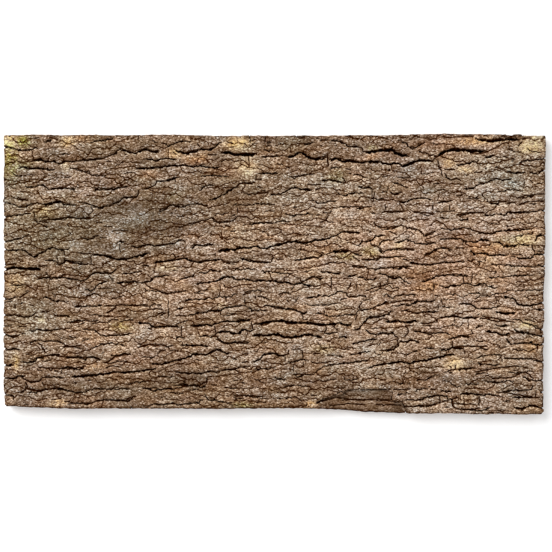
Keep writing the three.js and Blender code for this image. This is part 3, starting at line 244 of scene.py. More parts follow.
# Cracks beside the CAD fissures, as read from the photo: width, then places along the crack
cracks = """
2 -251 152 -247 151 -241 149.5; 2 -294 128 -289 127; 1 -187 125 -181 124.5; .8 -219 100 -216 98.5
.8 -279 109.5 -272 110.5 -266 110; .7 -296 99 -286 94; .7 -242 108 -232 107 -225 108; 1 -167 133 -164 132
1 -86 145 -83 141; .8 -113 136 -108 132; .7 -112 108 -110 102; 1 -74 132.5 -65 132.5
.9 -60 124.5 -57 125.5 -54 127.5; .8 -54 147 -45 145; 1 -27 147 -20 149.5; .8 -26 144 -19 145
1 -11.5 153 -11 146; 1 -10 142.5 -3 143; .9 -22 104.5 -20 110; 1 -21 105 -15 104.5
1.1 -26 89 -15 89.7 -7 91; .9 -20 97 -13 95.5; 2 23 152.5 29 151 34 152.5; 1.1 50 148 60 149
1 50 142 53 141.5; 1.2 58 132 58.5 126 59 119; 1.1 95 141 97.5 138.5 97 136; 1 82 112.5 85 111
.9 74 107 78 103 75 101; 1 36 99.5 50 99; 1.2 45 93.5 50 94; 1.3 92 96.5 100 95.5 110 94.5
.9 109.5 86 109.5 80; .7 108 93 107.5 86; .8 118 91.5 125 90.5; .8 2 122.5 9 121.5; .9 78 116.5 84 116
.6 125 98 124.5 92; .7 119 109 129 110; 1.1 127.5 91 129.5 89 133 89 138 91 141 91
.9 159 136 171 133; 1 169 131 176 132.5; .8 180.5 127 181.5 118; 1.4 184 117 184.5 112 186.5 107
1 188 116 200 116; 1 196 104 201 106.5 206 104; 1 225 127 224 123 229 121.5; .9 221 113 226 112.5 230 115
.9 244 131 250 129; .9 252 130.5 259 129; .8 258 139 265 136 273 135.5; .9 279 140 284 136 295 135
.9 269 142 274 147; 1 273 149 277 151 284 151; 1.2 211 153.5 220 152.5; 1.2 231 154 237 153
2.4 251 152.5 259 154 268 152.5; 2 270 153 275 153; .9 262 102.5 268 102; .9 283 104 286 101
.7 288 100 297 101; 1 229 88 232 85 236 81; 1 292 82 297 80; .9 200 87 208 88; .8 182 94 190 93.5
.9 -268 69 -266.5 64 -266 61; .8 -262 62 -254 64 -249 61; .9 -258 58 -251 57; 1.5 -230 55.5 -228 52.5
.7 -277 41 -270 43; 1 -218 23.5 -208 22.5 -204 24; .8 -234 27 -233.5 21; .7 -242 21 -240.5 12
.8 -204 21 -204 12 -200 10; .6 -172 34 -172 23; 1.2 -297 11 -287 11.5; 1.2 -262 9.5 -253 9.5
.8 -204 75 -202 70 -207 65; .8 -181 48 -171 49 -162 48; .9 -190 53 -180 53; .9 -198 57.5 -191 57.5
.6 -195 41 -186 40.5; .9 -108 64 -101 64.5; .9 -67 64 -65 67 -57 66.5 -51 68.5; .8 -41.5 74 -41 67
1.2 -49 47.5 -44 47.5; .8 -11 69.5 0 70; .7 -86 40 -79 44; .8 -55 54.5 -50 53; .8 -66 25 -65.5 20
1.5 -46 26 -43 24.5; .9 -58.5 17 -57.5 13; .9 -43 12 -40.5 13 -40.5 15.5; 1.3 -68 11 -66 11
.9 -113 24 -110 19; .7 -102 22 -101 18; .8 -4 13 -3.5 18 0 17.5; 1 -149 31.5 -144 31; .8 -30 56 -36 54
1 45 66 53 65.5; 1 52 68 61 68.5 63 71; .7 60 66 56 59; .8 50 57 55 59.5 61 58 66 57.5
1.3 21 59.5 25 59.5; .7 29 53.5 37 55; 1.2 57 37 57.5 33; .8 61 29 61.5 25; .5 28.5 31 28 21
.8 0 17 9 16.5; .6 10 21 16 20.5; .9 56 12 64 13.5 71 12 75 13.5 80 11; 1 86 20 94 15; .8 110 54 110 58
1 126 47 131 45.5 135 44; .7 122 76 121.5 70.5; .9 118 68 122 69.8; .8 141 54 143 50.5; 1 141 62 143 60
.9 141 17 148 14.5; .8 149 44 147.5 40; .9 175 77 174.5 72; .9 193.5 77 193 70.5
1 178 69 189 69.5 200 70.5; 1.2 257 55 258 52; .8 256 47.5 261 45; .8 266 41 268 36
1.2 284.5 33 285 29 288 24; .9 290 25 297 26; .8 240 35.5 237 31; 1.2 200 29 205 29.5 210 28.5
.8 208.5 37 208 32; 1.1 213 16 217 14 221 17; .8 226 14 226 9; .7 233 20 232.5 14; .8 262 22 275 21.5
1.5 -254 2 -250 -2 -248 -3; 1.3 -184 -1 -182 -5 -178 -8; .8 -247 -20 -243 -25
1.1 -209 -24 -204 -23 -200 -21 -195 -23; .8 -196 -15.5 -182 -15; 1.4 -300 -31 -291 -30
1 -288 -34 -287.5 -38; .9 -284 -58.5 -275 -58; .7 -268 -47 -258 -48; .9 -215 -55 -211 -53.5
1.2 -218 -57.5 -216 -58.5; .9 -203 -55 -195 -53.5 -186 -54 -180 -50 -174 -50
1.2 -187 -43 -180 -40 -176 -36; 1.5 -165 -46 -162 -48; .8 -172 -52 -157 -51; .8 -90 -20.5 -80 -21.5
.9 -110 -46 -104 -45.5 -98 -46.5; .9 -140 -38.5 -132 -38 -124 -39; 1 -110 -55 -104 -53
1.1 -141 -60 -136 -60.5; .8 -104 -57 -103.5 -63 -104 -69; .9 -57 -11 -55 -15; .8 -55 -24 -54 -30
1.2 -36 -22.5 -27 -20.5; 1 -34 -28.5 -32.5 -32 -30 -31; .9 -22 -24.5 -21 -28; .9 -61 -40.5 -60 -44.5
.9 -67 -57 -65.5 -64; 1 -26 -53 -24.5 -60; 1 -16 -57 -10 -56 -7 -54; .8 -66 -65 -66 -68
.8 62 -3 62.5 -9 62 -17; 1 84 -9 83 -13 80 -17; .6 90 -11 90.5 -19; .8 21 -14 18.5 -18
1 5 -21.5 13 -20.5 18 -22; 1 13 -28 15.5 -31; .7 26 -25 22 -32; 1 72 -28.5 80 -26.5
.9 96 -31 93.5 -35 94 -39; 1 54 -43.5 55 -40; .9 30 -45 31 -50 36 -50; .9 62 -56 66 -59 69 -62
.6 80 -56 79.5 -62; .9 91 -45 89.5 -50; 1.2 117 -9.5 117 -13; .8 125.5 -3 125 -9
.9 144 -57 148 -60 147 -65 143 -68; .7 140 -9 146 -14; .8 146 -4.5 154 -4.5; .7 66 -14 69 -18
.9 56 -56 57 -60 54 -66; .9 208.5 -3 209 -9; .7 219 1 218 -6 217 -11; 1.3 227 1 229 -2
.9 175 -10.5 180 -11.5; 1 177 -24 183 -24; .8 184.5 -27 185 -32; .7 181 -35 180 -41; 1.5 224 -46 227 -44
.9 199 -47 199 -54; .9 180 -49 179 -54; 1.2 161 -54.5 170 -54.5 178 -53; .9 217 -62 219 -66
.9 205 -58 209 -53; .9 286 -34 285.5 -38; .9 276 -50 283 -51 288 -53; 2 294 -60 295.5 -66
.7 222 -28 227 -23; .8 -258 -97 -248 -94.5; 1 -262 -103 -254 -103.5 -249 -106 -244 -105
.8 -236 -102 -236.5 -110; .7 -258 -119 -256 -125; .9 -277 -124 -275.5 -129; .8 -247 -139 -236 -137
.8 -191 -97 -184 -99 -176 -98; .8 -188 -103 -180 -101.5 -170 -103; 1 -276 -88.5 -268 -90
.9 -210 -130.5 -206.5 -127.5; 1 -130 -88 -127 -85 -121 -84; 1 -87 -94 -83 -96; .9 -67 -103 -62 -104
.9 -45 -105 -39.5 -109.5; 1.1 -37 -97.5 -29 -97; .9 -34 -88 -29 -88; .8 -46 -118 -41 -117
.9 -71 -123 -64 -122.5; .9 -44 -138.5 -34 -137.5
.8 -16 -138 -7 -138; .9 -56 -142.5 -47 -142; .8 -22 -142 -10 -141.5; 1.4 46 -74 49 -79 53 -81.5 59 -81.5
1.1 42 -88.5 50 -87.5; 1.1 40 -98 48 -98.5 55 -98 62 -96.5; .9 25 -82.5 30 -84.5 31 -91 30 -95
.9 15 -88 16 -83; .8 31 -97 32 -103; .5 20 -99 20 -108; .7 11 -91 11 -96
1 49 -117 53 -119 61 -117.5 68 -116; 1.3 75 -127 78 -125; .9 24 -137 30 -140.5
.9 131 -127.5 142 -128 150 -127; 1 110 -85 112 -88; 1 118 -88 119.5 -85.5; .8 148.5 -99 149.5 -107
1.5 112 -141 124 -140 133 -142 140 -141; 1 112 -145 130 -145 141 -146
1 52 -141 60 -138.5 70 -137 84 -139 100 -140.5; 1.1 36 -142 34.5 -146; .9 197 -74 196.5 -80
.8 191 -82 190 -88; .7 209 -81 209.5 -88; .9 250 -90 251 -97; .8 251 -81 258 -80.5
.9 262 -84 266 -83 270 -85 276 -83 280 -86 287 -83; .9 290 -78 291 -84; .9 199.5 -100 200 -106
.7 235 -102 235 -108; 1.5 264 -106 270 -107; .8 183 -135 183 -144; .9 196 -138 196 -147
.5 208 -134 210 -140 209 -147; .5 226 -137 226 -146; .8 247 -134.5 255 -137; 1.2 289 -130 288.5 -137
1.4 231 -150 243 -151.5 252 -150 262 -151.5; 3.2 -248 151.5 -244 150.5 -240 148.5; 2.4 -294 128 -290 127
2 -268 127 -262 128 -260 128.5; 2 -254 126 -250 126; 2.2 -213 127.5 -207 127 -200 128 -190 129
2 -283 119 -276 119 -268 117.5; 1.3 -201 147.5 -192 148.5 -184 150.5
1.8 -173 139.5 -167 138 -162 136.5 -156 135; 1.6 -150 137.5 -145 139.5 -140 139.5
1.6 -137 137 -132 136.5 -127 138; 2 -126 145.5 -122 145; 1.5 -142 127 -136 127.5
1.7 -134 125.5 -128 127.5 -120 128.5 -109 127; 1.8 -154 117 -148 117 -140 118; 2.2 -102 135 -99 134.5
1.6 -149 95 -141 95.5 -136 97.5; 1.6 -201 96 -190 95 -184 95 -178 96.5; 1.4 -173 98 -164 98.5
1.5 -171 83.5 -167 85.5 -160 86 -152 87; 1.6 -249 95 -244 95.5 -240 96.5 -230 96; 1.6 -257 78 -252 79
1.4 -297 79.5 -292 78.5; 1.5 -217 79.5 -209 79; 1.6 -203 75 -196 74 -190 75 -186 76.5
1.3 -183 79 -177 79.5; 1.6 -296 64 -288 65.5 -281 66.5; 1.4 -248 60.5 -242 61.5 -235 62
1.4 -267 61 -263 60; 1.2 -284 109.5 -280 109.5; 1.8 -100 135 -92 136.5 -86 138.5 -74 138.5 -68 141
3.4 -60 135 -52 135.5 -46 134 -38 133.5 -28 134 -20 133; 2 -9 146 -4 146; 1.7 -13 138.5 -8 137.5 -3 138
3 25 151.5 30 151; 1.8 46 150 49 150; 1.5 32 144 37 145 43 146.5; 1.5 66 143 69 142.5; 1.5 72 148.5 78 145
1.6 82 141.5 90 141 96 140; 2.2 97 136 103 136; 2.2 13 131 20 131.5
2.4 38 130 44 128.5 50 129.5 55 131 58 131.5; 2.2 60 127 66 128 71 129 76 127 84 127 90 126
1.8 61 118.5 65 118; 1.6 86 110.5 95 110 99 108.5; 1.5 51 105 57 104.5 64 105; 1.5 67 103.5 73 103 76 101
1.8 10 92 15 94 22 95.5 30 95 36 94.5 42 93.5; 1.6 -50 93 -46 95.5 -40 96.5; 1.6 -37 101.5 -28 102 -24 101
1.8 -22 105.5 -17 105; 1.5 -35 90.5 -30 89.5; 1.2 -20 91 -15 90.5; 1.6 -15 113 -6 112.5
1.6 -100 121 -94 120 -85 120 -77 121; 1.5 -28 57 -20 57 -12 58 -5 57 2 57.5; 1.2 -62 57.5 -53 58
3.6 100 135 105 135.5 112 137 120 137.5 128 138.5 131 141; 2 150 141 157 141
1.8 158 144.5 162 144.5 167 147; 1.4 137 148 141 147.5; 3.8 148 122 155 125 162 126 170 126 175 125.5
3.5 176 131 181 130; 3 180 119 185 117.5; 1.6 184 113 185.5 110; 1.4 188 108 193 106.5 197 104.5 201 106
1.8 201 121 208 121.5 214 123 219 125 225 124.5; 1.8 230 131 236 130 240 131 244 132
2.2 196 139.5 205 139 214 138.5 222 137.5; 2.2 222 150 234 149 246 150 256 151 264 152.5
1.6 224 101 232 101.5; 1.6 239 106 246 106.5; 1.8 260 114.5 265 112.5 275 112 278 114
1.7 281 112 288 112 293 114 297 116; 2 271 123 273 124; 1.6 262 127 267 126.5; 1.8 268 93.5 271 93.5
1.4 257 69.5 270 69 283 70; 1.5 202 66 207 65.5; 1.1 183 81 195 81; 3 -296 6 -288 8 -280 5.5 -270 5 -260 5
1.6 -255 2.5 -252 0 -250 -2; 1.8 -260 -4 -255 -3.5 -250 -2.5 -245 -4 -240 -3.5; 1.2 -237 -1.5 -233 0
1.4 -232 -4 -226 -4.5; 1.5 -268 20 -263 22 -258 24 -254 25.5; 1.7 -255 15.5 -248 16 -245 14
1.5 -242 11 -238 12 -234 14 -232 16 -228 15 -222 14 -214 13.5; 1.5 -208 12 -205 11.5; 2 -203 22 -200 22.5
2 -195 20.5 -188 21.5 -183 20.5 -178 17.5 -174 17 -170 18.5 -164 17 -158 18.5; 1.6 -144 24 -138 24
1.5 -159 32 -155 30.5 -150 31; 1.5 -132 32.5 -125 33 -118 33.5 -112 34.5; 1.3 -107 39 -103 38
1.7 -134 13 -128 14 -121 14.5 -116 15.5; 1.6 -145 10.5 -140 10; 1.5 -201 2.5 -195 2.5
1.4 -191 2.5 -184 2.5; 1.2 -152 3.5 -147 3.5; 1.6 -184 -1 -182 -4 -179 -5.5
1.7 -176 -9 -168 -8 -160 -7.5 -150 -8; 1.3 -208 -16 -205 -18; 1.2 -202 42 -196 43; 1.4 -232 -29.5 -228 -31
1.3 -282 -33.5 -279 -31; 1.2 -222 -35.5 -215 -35.5; 1.2 -181 -26.5 -177 -26.5; 1.2 -254 -41 -250 -41
1.2 -130 -43.5 -121 -43; 1.6 -94 30 -91 32 -88 33.5 -82 33; 1.7 -79 32 -75 34 -71 34.5
1.6 -63 26 -59 28 -55 28; 1.6 -44 25 -43 23.5; 2 -43 29.5 -37 30 -29 29.5 -25 31
2.4 0 33 8 34 14 36 18 36 24 38 28 36 34 35 40 36.5; 1.8 50 22 56 22.5 60 23 63 25
2.2 64 26 70 27 76 27 82 26.5 85 24 90 22.5 93 22; 1.8 -100 17 -94 15.5 -88 14 -84 14 -79 15.5 -71 16
1.8 -58 12.5 -52 13.5 -46 13.5 -41 12.5; 1.8 -39 18 -33 17 -28 16 -24 15 -18 14.5 -10 14 -5 13.5
1.2 -72 4.5 -66 4.5; 2 -60 -4 -56 -2.5 -50 -3 -47 -3.5; 1.4 -37 -5.5 -33 -5; 1.8 -24 -7.5 -18 -6.5 -10 -6
1.6 4 -9 12 -9.5 17 -9.5; 1.3 26 -10 30 -10; 1.3 33 -12 35 -13
1.3 -20 -25 -17 -24 -13 -24.5 -9 -27 -6 -29; 1.8 -75 -40.5 -70 -40.5 -62 -42 -60 -40
1.5 -40 -35 -34 -34 -28 -37 -25 -40 -21 -40; 1.7 -5 -36 0 -37.5 6 -38 13 -38.5 18 -39 23 -40 28 -41.5
1.6 81 -44.5 89 -45 91 -41 95 -39.5 103 -39 107 -37.5; 1.3 66 1 72 2; 1.1 13 1 17 1; 1.3 81 -2 86 -1.5
1.3 99 -5.5 106 -6; 1.3 94 -11 96 -11; 1.3 88 9 92 7.5 96 7.5; 1.7 98 16 103 17 107 17
1.2 82 -24.5 88 -24; 1.4 100 36 104 36.5; 1.2 52 -33.5 56 -33; 1.5 31 17 36 17.5 42 19.5 48 19
1.1 70 -19 76 -19; 1.3 117 52 124 52 130 52; 1.3 107 32 111 31; 1.6 166 36.5 170 35.5 176 35.5
1.4 150 26.5 154 27; 1.4 183 38.5 187 39 190 40; 1.6 207 38 213 38; 1.1 228 37.5 237 39
1.7 241 34.5 245 35.5 249 35.5; 1.4 252 31 260 31; 1.4 275 34 279 33.5; 1.6 284 46 287 46.5
1.6 290 43 296 45; 1.8 220 22 228 23 234 24 237 22.5; 1.5 244 21.5 250 21.5 259 22; 1.6 261 19.5 267 19.5
1.6 270 18 278 18.5 282 19.5; 1.6 285 21 288 22; 1.5 150 13.5 157 12 162 11
1.8 165 11 170 10.5 176 12 183 12; 1.6 188 13 196 13.5 206 14.5; 1.5 108 16 114 16.5
1.4 140 7.5 148 8 152 9.5; 1.8 126 -2 132 -2 138 -2.5 140 -3; 1.2 118 0 124 0; 1.4 196 0 204 0 212 -0.5
1.8 167 -6 170 -6 172 -4.5; 1.4 224 14.5 229 14; 1.4 290 11 293 11; 1.4 216 -11 221 -12.5 226 -10.5
1.3 228 -12 232 -12.5; 1.5 112 -34.5 118 -34 126 -30.5; 1.5 105 -38 108 -37; 1.4 138 -33.5 144 -32.5
1.4 146 -34.5 150 -33; 1.4 158 -30 165 -30 172 -30; 1.8 270 -34.5 276 -34.5 282 -34.5 287 -32.5
1.8 285 -38.5 292 -39; 1.4 228 -37 238 -37.5; 1.3 165 -42 170 -42.5 178 -42; 2.2 104 -47 112 -47
1.4 115 -45 119 -44; 2 184 -48 190 -47.5 200 -47 206 -48; 1.2 185 -36 188 -36; 1.5 250 -42 262 -42.5
1.5 -152 -53 -145 -54 -140 -54; 2 -139 -61 -135 -59 -128 -58.5 -122 -57 -115 -58 -108 -57.5
1.6 -105 -54 -102 -53 -98 -51 -96 -50.5; 1.8 -220 -51.5 -215 -52; 1.3 -292 -69 -284 -69
1.3 -255 -61.5 -248 -62; 1.2 -231 -80 -222 -80; 1.4 -110 -70 -101 -70; 1.2 -193 -77 -188 -77
2 -269 -97 -264 -93 -258 -91; 2 -256 -88 -253 -88; 1.4 -250 -89 -245 -89 -238 -88.5
1.4 -220 -92 -217 -91 -213 -93; 2 -211 -92 -206 -92 -201 -92.5; 1.3 -198 -94 -195 -94.5
1.5 -235 -103 -230 -103.5 -225 -105; 1.7 -245 -107 -240 -107; 2 -297 -114.5 -290 -115 -285 -113 -280 -112
1.1 -258 -114 -249 -114; 1.5 -274 -117 -271 -119.5 -266 -119 -259 -118; 2 -256 -127 -250 -127
2 -245 -125 -240 -126 -235 -126.5 -231 -127.5; 1.6 -229 -128 -223 -129.5
2.2 -215 -111.5 -205 -111.5 -198 -111.5 -190 -110.5 -183 -110; 1.7 -185 -126 -178 -126 -173 -125
1.8 -197 -140 -195 -139 -190 -139 -182 -139.5 -175 -140.5 -166 -140.5 -163 -142
1.2 -165 -139 -160 -137 -154 -135.5; 1.6 -212 -143 -210 -142.5
1.8 -148 -126 -142 -126 -138 -126.5 -132 -125 -127 -127.5 -121 -127; 1.4 -116 -131 -112 -130.5 -105 -131
1.4 -147 -146 -140 -146 -137 -144 -132 -143; 1.8 -121 -143 -113 -143.5; 1.8 -105 -144 -98 -143.5 -96 -144
1.6 -113 -124 -108 -122.5 -103 -121 -99 -122; 1 -102 -121 -99 -117; 1.6 -110 -107.5 -103 -109 -97 -108.5
1.3 -133 -106 -132 -103; .9 -130 -113 -120 -114; 1.4 -297 -134 -291 -134; 1 -285 -131 -281 -130 -277 -128
1.7 -90 -57 -84 -56 -78 -55.5 -72 -55.5 -70 -57 -66 -54; 1.6 -43 -50 -35 -50 -26 -49.5
1.2 -24 -55 -20 -55; 2 -16 -56.5 -11 -56; 3 -2 -51.5 5 -52.5 10 -53; 3 12 -54 17 -55 22 -54.5
3.2 22 -53.5 35 -54 45 -54 50 -56 56 -57; 1.8 60 -54 67 -55; 1.6 88 -62 92 -60 95 -58
1.8 -71 -69 -68 -68 -64 -65 -58 -64 -50 -64 -45 -65.5; 1 -66 -72 -61 -73 -58 -76
1.4 -44 -76 -37 -76 -28 -75.5; .9 -53 -77 -47 -77; 1.8 -24 -68 -20 -67 -17 -68.5 -17 -71
2.8 -8 -66 0 -67 6 -68 10 -70 14 -69.5; 1.6 18 -70 24 -69 30 -68.5; 1.6 71 -69 80 -69.5
1.2 60 -65.5 66 -65.5; .9 -16 -75.5 -8 -75.5; 1.6 -100 -79 -92 -79.5 -84 -79; 1.3 -85 -88.5 -77 -88.5
2 -12 -88.5 -6 -87.5 0 -88 3 -90 10 -90; 1 11 -89 15 -88; 1.1 -25 -97 -20 -96
2.1 13 -96 17 -97.5 20 -96.5 26 -95.5; 1.3 73 -99.5 80 -98.5 87 -98; 1 51 -81 58 -82.5
2.2 -59 -106 -54 -106 -47 -106; 1.7 -100 -109 -93 -109.5 -87 -109; 1.4 -80 -109.5 -76 -108
1.6 -66 -109 -61 -109; 2 -100 -122 -95 -123 -87 -122.5; 1.3 -80 -124.5 -77 -122.5 -75 -119 -75 -113
1 -95 -128.5 -85 -127.5; 1.3 0 -114 5 -116 13 -117; 1.3 -39 -119.5 -35 -120 -30 -121
1.2 -56 -126 -51 -126; 1.2 10 -125 15 -124 22 -123; 1.2 32 -124 39 -124.5; 1.8 -46 -134 -42 -136 -36 -135
1.6 -35 -134 -28 -135 -20 -135 -10 -135.5; 1.8 -82 -140 -79 -139; 1.5 -76 -135 -75 -138 -66 -138.5
1.8 -65 -141 -58 -140.5 -53 -142 -50 -143.5 -46 -145.5; 1.2 20 -136 25 -137; 1.2 40 -133.5 46 -134
2 -2.5 -137.5 -.5 -138; 1.8 103 -49 110 -48 116 -46.5; 1.5 122 -52.5 130 -53 138 -53
1.8 181 -49 186 -48.5 192 -46.5; 1.5 206 -48 212 -49; 1.2 231 -49 236 -49; 1.5 224 -57 229 -57
1.6 252 -56 258 -57; 1.8 279 -54 284 -56 288 -59 292 -61; 1.4 294 -62 294.5 -66
1.6 232 -63 236 -64.5 242 -65; 1.2 246 -66 252 -68 260 -65.5; 1.6 272 -64 280 -65 288 -67
1.5 122 -66 126 -66.5 128 -65.5; 1.4 166 -64.5 172 -65 178 -65.5 186 -65 190 -64.5; 1.2 195 -70.5 200 -70
1.3 204 -68 212 -68.5; 1.5 137 -74.5 143 -75 147 -74; 1.5 131 -81 134 -79 136 -78; 1.4 126 -84.5 130 -84.5
1.1 166 -81.5 173 -81; 1.2 195 -81 204 -81; 1.4 217 -80 224 -80 232 -80.5; 1.5 108 -101.5 114 -100.5
1.2 118 -99 122 -98.5; 1.6 148 -99 154 -97.5 160 -96 165 -96; 1.8 170 -93.5 178 -92.5 186 -91.5
1.8 253 -92.5 262 -93 270 -93.5 280 -93.5 287 -93 291 -95; 1.2 168 -117 172 -114 174 -112.5
1.6 182 -128 187 -130 190 -129; 1.2 170 -125 172 -125.5; 1 172 -128 178 -128
1.7 206 -132 212 -131.5 217 -131 222 -132; 1.6 225 -133.5 230 -133 236 -133 242 -133.5 247 -134
2 252 -130 260 -130; 1.5 262 -137 267 -136 273 -136; 1.5 280 -136 286 -138; 1.3 251 -140 258 -141 262 -141
1.8 264 -147.5 272 -148.5 276 -147; 1.2 281 -145 288 -145 290 -146
1.4 160 -146.5 166 -147 170 -147 174 -145 178 -144.5; 1.3 141 -140.5 146 -139 155 -139
1.4 162 -137 168 -136 172 -136; 1.2 212 -149 216 -149.5; 2 219 -151 228 -150.5 234 -150
1.2 236 -153 243 -153.5; 1.2 250 -151.5 254 -152; 1.1 198 -138 204 -136.5
1.6 116 -140 124 -140.5 128 -141; 1 291 -80 291 -83; 1.1 279 -115 282 -117
1 -194 127.5 -187 129.5 -180.5 132 -174 137.5 -170.5 138.5
.8 -227 118 -217 116 -209.5 112.5 -200.5 109 -189.5 110; 1 -137.5 96.5 -133 99 -130.5 103
1.2 -185 75.5 -177.5 78.5 -173 81; .9 -152 87.5 -151.5 93.5; 1.2 -238 81 -229.5 78 -220.5 76.5
1.2 -263.5 79 -255 77; 1 -283.5 75 -276 76 -268 77.5 -262.5 79.5; .9 -268 61 -263.5 57.5 -253.5 53
1 -261.5 58.5 -249 61 -238 62 -227 63 -216 62 -204 63.5; .9 -283.5 39 -278 41.5 -272.5 44.5
.9 -251.5 15 -243.5 15; .8 -243.5 15 -240.5 11.5 -235 12.5 -232.5 18; 1 -147.5 10 -139.5 9.5
1.1 -62 16.5 -53.5 13.5 -40 13; 1 -111 17.5 -105.5 20.5; 1.1 -43.5 96.5 -38 100.5 -28 101 -22.5 102
.9 -106.5 51.5 -97.5 55 -86.5 58 -75.5 60.5 -70.5 63; 1 -69.5 63 -64.5 58.5 -55.5 57.5 -46.5 59.5 -41 64.5
.9 -128.5 70.5 -121 74 -116.5 76.5 -105.5 77 -98.5 75.5; .8 -43.5 77 -30 76.5 -16.5 78.5 0 77
.9 -291.5 85 -282.5 84 -273.5 82.5; 1.1 121.5 69.5 134 70 142.5 69.5; 1.1 154 68.5 165 68 177 67.5
1.2 201.5 65.5 211.5 67.5 222.5 68 232.5 68.5; 1 233.5 80.5 247 81 258 80 266.5 79.5
1.1 268 84 276.5 87.5 286.5 88 297.5 89.5; 1 270 77 278 80 289 81 297.5 81.5
1.1 109.5 55.5 116 52 125 51.5 134 53 141 55; 1 141 54.5 146 51.5 156 50.5 161.5 47.5 165.5 43
.9 166 43 171.5 46 178 48; 1.1 216 50 224.5 48 233.5 44.5
1.1 233.5 44.5 241.5 46 247 48 258 48 269 50 286.5 50.5; 1 103.5 36.5 108.5 32.5 114 31
1 114.5 31.5 118 36.5 125 38 131.5 38.5; 1 114 30.5 119.5 25.5 125 26.5 134 28.5 142.5 29 154 27.5
1 166 22.5 173.5 24 177 28 185 29.5 196 27.5; 1 85 10 95 9 105 6 118.5 6.5 134 8.5 149.5 9
1 96 16 107.5 16.5 118.5 18.5 131.5 19.5 144 20; 1 21 107.5 30 110 44 111; .8 109.5 83 110 91
1 74 74 85 75 98.5 74.5 107.5 75
1.1 -145 -9 -141 -13.5 -133 -17 -124 -19.5 -118.5 -21.5 -108.5 -20 -96.5 -18
1 -189.5 -35.5 -178.5 -35 -169.5 -33.5 -158.5 -35.5 -140.5 -33.5
1 -295.5 -44 -287 -45 -278 -47 -269 -46 -264.5 -42; .9 -259 -41 -250.5 -41
1.1 -245 -45 -236 -46.5 -227.5 -46.5; 1.1 -231.5 -53 -221.5 -54 -210.5 -51 -202.5 -53 -196 -50.5
1 -199.5 -44.5 -193 -46.5 -184 -47; 1.1 -246 -62 -238 -61 -227 -60
1 -271.5 -75 -262.5 -73 -255 -74.5 -240.5 -73.5 -233.5 -77.5 -228 -80 -216 -79
1 -261.5 -76 -257.5 -82 -254 -88; 1.1 -146.5 -80.5 -139.5 -77.5 -133 -79.5 -125 -78 -116.5 -81.5
1.1 -72 -70.5 -65.5 -68.5 -57.5 -76 -46.5 -75.5 -31 -74.5; 1 -64.5 -108 -52 -105.5 -39 -103.5 -28 -101.5
1.2 -291.5 -115 -282.5 -112.5 -278 -116 -271.5 -119 -260.5 -118 -258 -115
1.2 -276 -126 -269 -128.5 -259 -128.5; 1.1 -209.5 -129 -200.5 -127 -191.5 -126.5
1.1 -112 -126.5 -98.5 -124.5 -83 -123 -76.5 -119 -74.5 -116
1 -233.5 -140.5 -221.5 -142.5 -209.5 -143 -200.5 -141.5; 1.1 -200.5 -141 -187 -139 -171.5 -140 -160.5 -141
1.1 -44.5 -135 -31 -134.5 -14.5 -135.5; 1 -298 -67 -291.5 -68.5 -282.5 -67
1 100.5 -18.5 111.5 -14.5 120.5 -13 126 -10 131.5 -10.5
1.1 227 -48.5 237 -49.5 244.5 -52.5 255.5 -51.5 265.5 -53
1 111.5 -68.5 120.5 -64.5 131.5 -66 136.5 -72 134.5 -79 125 -84 116 -84
1 20 -110.5 30 -111 43 -111 47.5 -106 54 -102 64 -99.5; 1.1 144 -146 154 -146.5 165 -144.5 176 -144
1 176 -144 185 -141.5 193.5 -140; 1 196 -143 196.5 -138 201.5 -135; 1 226 -135 227.5 -140 225 -144.5
.9 196 -143 209 -144 222.5 -144; 1 191.5 -72.5 207 -68.5 220 -66
1.8 175 126 178 129 181.5 132; 1.5 1 131.5 10 131 17.5 130.5 23 133; 1.6 55 130.5 59 129.5 63 127.5
1.2 -264.5 -92.5 -251.5 -89.5 -238 -91 -220.5 -92 -202.5 -92 -193 -93.5
1.1 -152 -81.5 -140.5 -77.5 -121 -78.5; 1.1 -257 -103.5 -229.5 -105 -209.5 -102
1.2 -187 -98 -176 -91 -159.5 -88.5; 1.1 -282.5 -26 -278.5 -23 -274.5 -19.5
1.2 -276 -119 -273.5 -126 -264.5 -129 -251.5 -128 -243.5 -126; 1.2 27 -10 34 -6.5 42 -3.5 52 -2
1.2 123 -33.5 131.5 -30.5 142.5 -29.5 154 -28.5; 1.2 192 -86.5 193 -82 203.5 -79.5 219 -79.5 235.5 -80
1.1 191.5 -107 200.5 -105 218 -103.5; 1.1 222.5 -108 244.5 -104 266.5 -101.5 280 -103.5
1.1 240 -116 262.5 -114 278 -108 286.5 -116; 1.1 244.5 -130.5 262.5 -132.5 293.5 -137
1.1 196 -139 198 -148 209 -150 227 -148; 1.1 142.5 -39.5 156 -43 178 -41.5
1.2 229 -46 244.5 -49.5 255.5 -50.5; 1.5 47 -141 55 -138.5 62 -135.5 70 -131.5 80 -128.5
1.5 80 -128 95 -127.5 110 -128 120 -127.5 129 -127.5; 1.4 129 -127.5 130 -132 129.5 -137 129 -140
1.5 129 -139.5 135 -140.5 141 -141 143 -145 145 -148.5; 1 74 -140 90 -139 105 -139.5 115 -138.5 128 -139.5
.9 60 -146 80 -144 100 -145
"""


# Presses a crack into a map: grid places along it and its width there in millimetres
def pressCrack(marks, columns, rows, widths, strength=1.0):
    for i, j, wide in zip(columns, rows, widths):
        reach = 3 + int(wide / step)
        i0, i1 = max(0, int(i) - reach), min(shape[1], int(i) + reach + 2)
        j0, j1 = max(0, int(j) - reach), min(shape[0], int(j) + reach + 2)
        if i0 >= i1 or j0 >= j1:
            continue
        gapX = (np.arange(i0, i1)[None, :] - i) * step
        gapY = (np.arange(j0, j1)[:, None] - j) * step
        mark = strength * np.exp(-(gapX ** 2 + gapY ** 2) / (0.62 * wide) ** 2)
        marks[j0:j1, i0:i1] = np.maximum(marks[j0:j1, i0:i1], mark)


